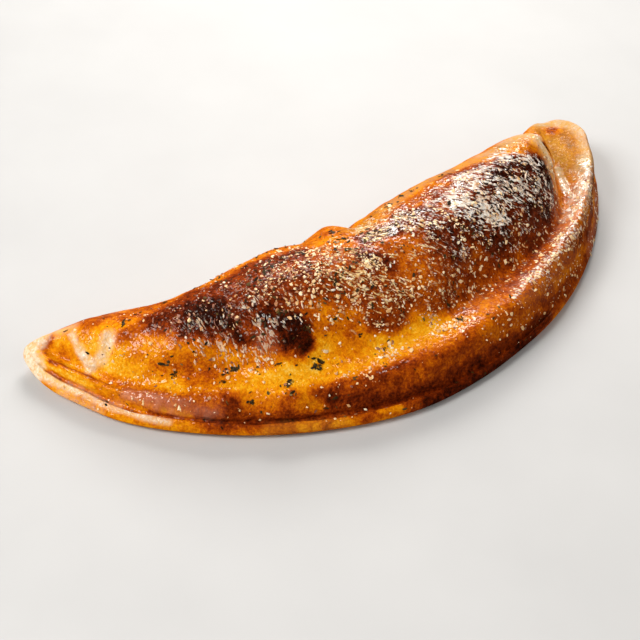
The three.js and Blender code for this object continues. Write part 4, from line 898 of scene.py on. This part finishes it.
def grains_object(name, parts, material, tint, smooth):
    V, F, C, base = [], [], [], 0
    for (v, f, m), t in zip(parts, tint):
        V.append(v)
        F.append(f + base)
        C.append(np.repeat(t, m))
        base += len(v)
    ob = mesh_object(name, np.vstack(V), np.vstack(F).tolist(), smooth=smooth)
    a = ob.data.attributes.new("tint", "FLOAT", "POINT")
    a.data.foreach_set("value", np.concatenate(C).astype(np.float32))
    ob.data.materials.append(material)
    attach(ob, "root")
    return ob


# ------------------------------------------------------------------ materials
def srgb(r, g, b):
    def lin(c):
        c /= 255.0
        return c / 12.92 if c <= 0.04045 else ((c + 0.055) / 1.055) ** 2.4

    return (lin(r), lin(g), lin(b), 1.0)


class Nodes:
    def __init__(self, name):
        self.mat = bpy.data.materials.new(name)
        self.mat.use_nodes = True
        self.t = self.mat.node_tree
        self.bsdf = self.t.nodes["Principled BSDF"]
        self.space = self.t.nodes.new("ShaderNodeTexCoord").outputs["Object"]

    def link(self, value, socket):
        if hasattr(value, "is_linked") or hasattr(value, "links"):
            self.t.links.new(value, socket)
        else:
            socket.default_value = value

    def attr(self, name):
        n = self.t.nodes.new("ShaderNodeAttribute")
        n.attribute_name = name
        return n.outputs["Fac"]

    def noise(self, scale, detail=2.0, rough=0.55, vec=None, dist=0.0):
        n = self.t.nodes.new("ShaderNodeTexNoise")
        n.inputs["Scale"].default_value = scale
        n.inputs["Detail"].default_value = detail
        n.inputs["Roughness"].default_value = rough
        n.inputs["Distortion"].default_value = dist
        self.t.links.new(vec or self.space, n.inputs["Vector"])
        return n.outputs["Fac"]

    def cells(self, scale, feature="F1", vec=None, rand=1.0):
        n = self.t.nodes.new("ShaderNodeTexVoronoi")
        n.feature = feature
        n.inputs["Scale"].default_value = scale
        n.inputs["Randomness"].default_value = rand
        self.t.links.new(vec or self.space, n.inputs["Vector"])
        return n.outputs["Distance"]

    def axis(self, k):
        n = self.t.nodes.new("ShaderNodeSeparateXYZ")
        self.t.links.new(self.space, n.inputs[0])
        return n.outputs[k]

    def stretch(self, turn, scale):
        n = self.t.nodes.new("ShaderNodeMapping")
        n.vector_type = "TEXTURE"
        n.inputs["Rotation"].default_value = turn
        n.inputs["Scale"].default_value = [1.0 / s for s in scale]
        self.t.links.new(self.space, n.inputs["Vector"])
        return n.outputs["Vector"]

    def math(self, op, a, b=0.0, c=None, clamp=False):
        n = self.t.nodes.new("ShaderNodeMath")
        n.operation = op
        n.use_clamp = clamp
        self.link(a, n.inputs[0])
        self.link(b, n.inputs[1])
        if c is not None:
            self.link(c, n.inputs[2])
        return n.outputs[0]

    def span(self, v, a, b, c=0.0, d=1.0):
        n = self.t.nodes.new("ShaderNodeMapRange")
        n.clamp = True
        for s, x in zip(("Value", "From Min", "From Max", "To Min", "To Max"), (v, a, b, c, d)):
            self.link(x, n.inputs[s])
        return n.outputs["Result"]

    def blend(self, fac, a, b):
        return self.math("MULTIPLY_ADD", self.math("SUBTRACT", b, a), fac, a)

    def ramp(self, fac, stops, mode="LINEAR"):
        n = self.t.nodes.new("ShaderNodeValToRGB")
        r = n.color_ramp
        r.interpolation = mode
        while len(r.elements) > 1:
            r.elements.remove(r.elements[-1])
        for k, (pos, col) in enumerate(stops):
            e = r.elements[0] if k == 0 else r.elements.new(pos)
            e.position = pos
            e.color = col
        self.link(fac, n.inputs["Fac"])
        return n.outputs["Color"]

    def mix(self, fac, a, b, mode="MIX"):
        n = self.t.nodes.new("ShaderNodeMix")
        n.data_type = "RGBA"
        n.blend_type = mode
        n.clamp_factor = True
        self.link(fac, n.inputs[0])
        self.link(a, n.inputs[6])
        self.link(b, n.inputs[7])
        return n.outputs[2]

    def bump(self, height, strength, depth, normal=None):
        n = self.t.nodes.new("ShaderNodeBump")
        n.inputs["Strength"].default_value = strength
        n.inputs["Distance"].default_value = depth
        self.link(height, n.inputs["Height"])
        if normal is not None:
            self.t.links.new(normal, n.inputs["Normal"])
        return n.outputs["Normal"]

    def set(self, **values):
        for name, v in values.items():
            self.link(v, self.bsdf.inputs[name.replace("_", " ")])


def crust_material():
    N = Nodes("baked_crust")
    done, pale, painted_sheen, wet, olive_dull_and_shade, streak, cheese_web_and_highlight, dim = (
        N.attr(a) for a in ("done", "pale", "painted_sheen", "wet", "olive_dull_and_shade", "streak", "cheese_web_and_highlight", "dim"))
    wide = N.noise(70, 3, 0.55)
    mid = N.noise(240, 4, 0.6)
    fine = N.noise(850, 3, 0.6)
    pores = N.cells(620)
    d = N.math("MULTIPLY_ADD", N.math("SUBTRACT", wide, 0.5), 0.30, done)
    d = N.math("MULTIPLY_ADD", N.math("SUBTRACT", mid, 0.5), 0.60, d)
    d = N.math("MULTIPLY_ADD", N.math("SUBTRACT", fine, 0.5), 0.62, d)
    base = N.ramp(d, RAMP)
    # pale dough, with a tan tone in it; on the right rim, by the flap's crease and on the left pleats and lips it is
    # also painted highlight
    pf = N.math("MULTIPLY_ADD", N.math("SUBTRACT", mid, 0.5), N.math("MULTIPLY", pale, 0.9), pale)
    pf = N.math("MULTIPLY_ADD", N.math("SUBTRACT", fine, 0.5), N.math("MULTIPLY", pale, 1.3), pf, clamp=True)
    dough = N.ramp(N.math("MULTIPLY_ADD", N.math("SUBTRACT", mid, 0.5), 1.2, N.math("ADD", fine, 0.0)), PALE_DOUGH_AND_HIGHLIGHT)
    col = N.mix(pf, base, dough)
    # painted sheen: a pinkish tint standing in for the front light's reflection on the oil
    col = N.mix(painted_sheen, col, N.ramp(mid, SHEEN_TINTS))
    # dulled towards olive: a toned-down colour, and painted shade in the ear's dish
    col = N.mix(olive_dull_and_shade, col, OLIVE_AND_SHADE)
    # little dark pinholes where the crust is golden
    hole = N.span(pores, 0.10, 0.24, 1.0, 0.0)
    hole = N.math("MULTIPLY", hole, N.span(mid, 0.50, 0.62, 0.0, 0.55))
    col = N.mix(hole, col, N.mix(0.6, col, srgb(70, 26, 8)))
    # shreds of cheese melted into the skin, with painted highlight: a broken cream web, denser where its field is
    # higher; over the burnt dome and along the right roll its near-white stands in for the lamp's glints on the oil
    along = N.axis(0)
    left = N.span(along, -0.068, -0.040, 1.0, 0.0)
    strand = N.blend(
        left, N.noise(1.0, 2, 0.55, N.stretch((0, 0, 0.85), (900, 280, 500)), dist=0.6),
        N.noise(1.0, 2, 0.55, N.stretch((0.68, 0, 0.05), (900, 240, 500)), dist=0.6))
    # on the rim they have run together into small patches of painted highlight
    rim = N.math("MULTIPLY", N.span(along, 0.070, 0.095, 0.0, 1.0), N.span(streak, 0.05, 0.35, 1.0, 0.0))
    strand = N.blend(rim, strand, N.noise(340, 2, 0.55, dist=0.8))
    web = N.math("MULTIPLY_ADD", N.math("SUBTRACT", strand, 0.5), 3.4, cheese_web_and_highlight)
    web = N.math("MULTIPLY_ADD", N.math("SUBTRACT", N.noise(150, 3, 0.6), 0.5), 1.7, web)
    web = N.math("MULTIPLY", N.span(web, 0.56, 0.84), N.span(cheese_web_and_highlight, 0.03, 0.12))
    web = N.math("MULTIPLY", web, N.span(dim, 0.0, 1.0, 1.0, 0.38))
    # golden over the middle, whiter over the burnt dome, where the white is painted highlight
    gold = N.math("MULTIPLY", N.span(along, 0.004, 0.024, 1.0, 0.0), N.span(along, -0.075, -0.050, 0.35, 1.0))
    grain = N.math("MULTIPLY_ADD", N.math("SUBTRACT", fine, 0.5), 1.6, mid)
    col = N.mix(web, col, N.mix(gold, N.ramp(grain, WEB_AND_HIGHLIGHT_WHITES), N.ramp(grain, GOLD)))
    # relief finer than the mesh: pimples, fine wrinkles, and long folds of skin on the dome
    long_fold = N.noise(1.0, 3, 0.6, N.stretch((0, 0, 0.45), (520, 130, 300)))
    crinkle = N.math("ABSOLUTE", N.math("SUBTRACT", N.noise(420, 3, 0.6, dist=0.6), 0.5))
    skin = N.bump(mid, 0.7, 0.0011)
    skin = N.bump(fine, 0.7, 0.0005, skin)
    skin = N.bump(crinkle, 0.7, 0.0010, skin)
    skin = N.bump(N.math("MULTIPLY", long_fold, streak), 0.9, 0.0022, skin)
    skin = N.bump(web, 0.8, 0.0004, skin)
    N.set(Base_Color=col, Roughness=0.5, Normal=skin, IOR=1.4, Specular_IOR_Level=0.03)
    # the oil on it: a clear coat where the crust is wet, smoother than the skin under it
    film = N.bump(N.noise(230, 1.5, 0.5), 1.0, 0.0013)
    film = N.bump(N.noise(620, 0.5, 0.5), 1.0, 0.00055, film)
    film = N.bump(N.math("MULTIPLY", N.noise(1.0, 1, 0.5, N.stretch((0, 0, 0.45), (480, 130, 300))), streak), 1.0, 0.0028, film)
    film = N.bump(web, 0.6, 0.0003, film)
    patch = N.math("MULTIPLY_ADD", N.math("SUBTRACT", wide, 0.5), 2.5, N.math("MULTIPLY_ADD", N.math("SUBTRACT", mid, 0.5), 2.0, 1.0))
    oil = N.math("MULTIPLY", wet, N.math("MAXIMUM", patch, 0.0), clamp=True)
    N.set(Coat_Weight=oil, Coat_Roughness=0.09, Coat_IOR=1.9, Coat_Normal=film)
    return N.mat


RAMP = [
    (0.00, srgb(244, 194, 84)), (0.12, srgb(240, 168, 22)), (0.26, srgb(230, 142, 6)), (0.40, srgb(210, 114, 4)),
    (0.54, srgb(178, 80, 5)), (0.68, srgb(138, 52, 6)), (0.82, srgb(98, 31, 4)), (0.95, srgb(58, 16, 3)), (1.0, srgb(38, 10, 3)),
]
# whites of the melted-cheese web, also used as painted highlight
WEB_AND_HIGHLIGHT_WHITES = [(0.25, srgb(228, 188, 154)), (0.5, srgb(253, 238, 222)), (0.75, srgb(255, 252, 248))]
GOLD = [(0.25, srgb(206, 152, 86)), (0.5, srgb(236, 200, 138)), (0.75, srgb(250, 228, 182))]
PALE_DOUGH_AND_HIGHLIGHT = [(0.25, srgb(222, 176, 126)), (0.5, srgb(236, 208, 172)), (0.75, srgb(243, 226, 203))]
# pinkish tints of the painted sheen
SHEEN_TINTS = [(0.3, srgb(150, 76, 52)), (0.5, srgb(186, 108, 78)), (0.7, srgb(214, 146, 116))]
OLIVE_AND_SHADE = srgb(150, 128, 58)
crust.data.materials.append(crust_material())


def cheese_material():
    N = Nodes("grated_hard_cheese")
    tint = N.attr("tint")
    fine = N.noise(1400, 2, 0.6)
    col = N.ramp(N.math("MULTIPLY_ADD", N.math("SUBTRACT", fine, 0.5), 0.5, tint), [
        (0.0, srgb(138, 84, 66)), (0.16, srgb(186, 122, 72)), (0.34, srgb(228, 178, 116)), (0.6, srgb(246, 212, 160)), (1.0, srgb(254, 238, 206))])
    N.set(Base_Color=col, Roughness=N.span(fine, 0.3, 0.7, 0.35, 0.6), Normal=N.bump(fine, 0.5, 0.0002), IOR=1.45)
    N.set(Coat_Weight=N.span(tint, 0.12, 0.45, 0.03, 0.4), Coat_Roughness=0.25, Coat_IOR=1.5)
    return N.mat


def shred_material():
    N = Nodes("melted_cheese")
    tint = N.attr("tint")
    fine = N.noise(1200, 2, 0.6)
    col = N.ramp(N.math("MULTIPLY_ADD", N.math("SUBTRACT", fine, 0.5), 0.5, tint), [
        (0.0, srgb(150, 96, 80)), (0.16, srgb(204, 146, 110)), (0.34, srgb(238, 198, 162)), (0.6, srgb(250, 228, 206)), (1.0, srgb(255, 246, 236))])
    N.set(Base_Color=col, Roughness=N.span(fine, 0.3, 0.7, 0.3, 0.5), Normal=N.bump(fine, 0.5, 0.0002), IOR=1.45)
    N.set(Coat_Weight=N.span(tint, 0.12, 0.45, 0.04, 0.6), Coat_Roughness=0.2, Coat_IOR=1.5)
    return N.mat


def herb_material():
    N = Nodes("dried_herb")
    tint = N.attr("tint")
    fine = N.noise(1100, 2, 0.6)
    col = N.ramp(N.math("MULTIPLY_ADD", N.math("SUBTRACT", fine, 0.5), 0.6, tint), [
        (0.0, srgb(32, 22, 8)), (0.35, srgb(56, 42, 15)), (0.7, srgb(88, 68, 28)), (1.0, srgb(136, 110, 60))])
    N.set(Base_Color=col, Roughness=N.span(fine, 0.3, 0.7, 0.5, 0.8), Normal=N.bump(fine, 0.6, 0.0002), IOR=1.45, Specular_IOR_Level=0.2)
    return N.mat


rng = np.random.default_rng(7)
# grated cheese: many small crumbs, fewer large ones, in clumps with bare places between them
CLUMP = np.clip(0.7 + 0.9 * fbm(P0, 10, 2, 201) + 0.9 * fbm(P0, 3.6, 1, 211), 0.05, 2.2)
groups, tints = [], []
for rate, most, typical, spread, low, high, level in N_CHEESE:
    P, N, dull = spots(field["cheese"] * CLUMP, rate, most, rng)
    count = len(P)
    size = np.clip(rng.lognormal(math.log(typical), spread, count), low, high)
    shape = np.stack([rng.uniform(0.9, 1.45, count), rng.uniform(0.62, 1.05, count), rng.uniform(0.18, 0.36, count)], 1)
    groups.append(scatter(P, N, size, shape, level, 0.35, 0.16, 0.30 if level < 2 else 0.16, rng))

    tints.append(np.clip(rng.normal(0.50, 0.30, count) - 0.8 * dull * rng.uniform(0.4, 1.2, count), 0, 1))
cheese = grains_object("grated_cheese_crumbs", groups, cheese_material(), tints, False)

# cheese melted into short white strands, which lie down the slope of the dome and across the rim
P, N, dull = spots(field["shred"] * np.clip(0.75 + 1.1 * fbm(P0, 8, 2, 301) + 0.8 * fbm(P0, 3.0, 1, 311), 0.03, 2.2), *N_SHRED, rng)
count = len(P)
turn = 1.1 * lattice_noise(P / 9.0, 321) + 0.45 * rng.normal(size=count)
steep = np.clip((-40 - P[:, 0]) / 28, 0, 1)[:, None]        # at the left the strands run more steeply down
down = np.array([0.39, -0.82, -0.43]) * (1 - steep) + np.array([0.04, -0.78, -0.63]) * steep
side = np.cross(N, down)
turn = turn * (1 - 0.45 * steep[:, 0])
aim = down * np.cos(turn)[:, None] + side * np.sin(turn)[:, None]
long = np.clip(rng.lognormal(math.log(1.9), 0.4, count), 0.8, 4.2)
wide_ = np.clip(rng.lognormal(math.log(0.72), 0.28, count), 0.4, 1.3)
strands = grains_object(
    "melted_cheese_shreds", [shreds(P, N, long, wide_, wide_ * rng.uniform(0.22, 0.4, count), aim, rng)], shred_material(),
    [np.clip(rng.normal(0.62, 0.22, count) - 0.8 * dull * rng.uniform(0.4, 1.2, count), 0, 1)], True)

# dried herbs: thin ragged flakes, and bigger bits of leaf in a few places
P, N, dull = spots(field["herbs"], *N_HERB, rng)
n_herb = len(P)
size = np.clip(rng.lognormal(math.log(1.25), 0.36, n_herb), 0.5, 2.8)
shape = np.stack([rng.uniform(0.9, 1.6, n_herb), rng.uniform(0.4, 0.8, n_herb), rng.uniform(0.1, 0.2, n_herb)], 1)
tint = np.clip(rng.normal(0.34, 0.22, n_herb), 0, 1)
h1 = scatter(P, N, size, shape, 1, 0.15, 0.22, 0.2, rng)
LP, LN, LS, LSh, LT = [], [], [], [], []
flatN = N1
for phi, t, spread, number, big in LEAVES:
    c = on_surface(np.array([phi]), np.array([t]))[0]
    for q in range(int(number * 1.7)):
        p = c + rng.normal(size=3) * spread * 0.5
        k = np.argmin(((P1 - p) ** 2).sum(1))
        LP.append(P1[k]); LN.append(flatN[k])
        LS.append(0.68 * big * rng.uniform(0.6, 1.3))
        LSh.append([rng.uniform(0.9, 1.3), rng.uniform(0.5, 0.8), rng.uniform(0.10, 0.16)])
        LT.append(np.clip(rng.normal(0.34, 0.18), 0, 1))
LP, LN, LS, LSh, LT = map(np.array, (LP, LN, LS, LSh, LT))
h2 = scatter(LP, LN, LS, LSh, 2, -0.1, 0.25, 0.14, rng)
herb = grains_object("dried_herb_flakes", [h1, h2], herb_material(), [tint, LT], False)

# ------------------------------------------------------------------ stage, camera, light
FAR = 12.0
fl = bpy.data.meshes.new("floor")
fl.from_pydata([(-FAR, -FAR, 0), (FAR, -FAR, 0), (FAR, FAR, 0), (-FAR, FAR, 0)], [], [(0, 1, 2, 3)])
floor = bpy.data.objects.new("floor", fl)
bpy.context.scene.collection.objects.link(floor)
N = Nodes("pale_floor")
n = N.noise(14, 3, 0.5)
away = N.t.nodes.new("ShaderNodeVectorMath")
away.operation = "LENGTH"
N.t.links.new(N.space, away.inputs[0])
N.set(Base_Color=N.ramp(n, [(0.3, srgb(*FLOOR_A)), (0.7, srgb(*FLOOR_B))]), Roughness=0.6)
N.set(Emission_Color=srgb(236, 234, 230), Emission_Strength=N.span(away.outputs["Value"], 0.35, 3.2, 0.0, 0.55))
fl.materials.append(N.mat)

bd = bpy.data.meshes.new("backdrop")
bm = bmesh.new()
bmesh.ops.create_icosphere(bm, subdivisions=3, radius=FAR * 0.98)
bm.to_mesh(bd)
bm.free()
backdrop = bpy.data.objects.new("backdrop", bd)
bpy.context.scene.collection.objects.link(backdrop)
N = Nodes("pale_backdrop")
N.set(Base_Color=(0, 0, 0, 1), Specular_IOR_Level=0.0, Emission_Color=srgb(236, 234, 230), Emission_Strength=0.95)
bd.materials.append(N.mat)
backdrop.visible_diffuse = backdrop.visible_glossy = backdrop.visible_shadow = backdrop.visible_transmission = False

cam = bpy.data.cameras.new("camera")
cam.sensor_width = 36
cam.lens = 73.125
view = bpy.data.objects.new("camera", cam)
bpy.context.scene.collection.objects.link(view)
RT = Vector((0.8142474, -0.5785045, 0.0483081))
UP = Vector((0.3661515, 0.5763662, 0.7305718))
FW = Vector((0.4504822, 0.5771781, -0.6811250))
EYE = Vector((-0.3137448, -0.3469635, 0.4234537))
view.matrix_world = Matrix((
    (RT.x, UP.x, -FW.x, EYE.x), (RT.y, UP.y, -FW.y, EYE.y), (RT.z, UP.z, -FW.z, EYE.z), (0, 0, 0, 1)))
bpy.context.scene.camera = view

ahead = Vector((FW.x, FW.y, 0)).normalized()
right = Vector((ahead.y, -ahead.x, 0))


def softbox(name, turn, rise, dist, width, height, radiance, colour=(1, 1, 1)):
    """A rectangular lamp: turn degrees to the right of the camera's own direction, rise degrees up, seen from the object."""
    a, e = math.radians(turn), math.radians(rise)
    way = (ahead * math.cos(a) + right * math.sin(a)) * math.cos(e) + Vector((0, 0, math.sin(e)))
    lamp = bpy.data.lights.new(name, "AREA")
    lamp.shape = "RECTANGLE"
    lamp.size, lamp.size_y = width, height
    lamp.energy = radiance * math.pi * width * height
    lamp.color = colour
    ob = bpy.data.objects.new(name, lamp)
    bpy.context.scene.collection.objects.link(ob)
    ob.location = way * dist + Vector((0, 0, 0.02))
    ob.rotation_mode = "QUATERNION"
    ob.rotation_quaternion = (-way).to_track_quat("-Z", "Y")
    return ob


for spec, shines in LIGHTS:
    softbox(*spec).visible_glossy = shines       # the fill only lifts the shade and leaves no veil on the oil
floor.visible_glossy = False
world = bpy.data.worlds.new("studio")
bpy.context.scene.world = world
world.use_nodes = True
world.cycles_visibility.glossy = False
world.node_tree.nodes["Background"].inputs[0].default_value = WORLD[0]
world.node_tree.nodes["Background"].inputs[1].default_value = WORLD[1]
bpy.context.scene.view_settings.view_transform = "Standard"
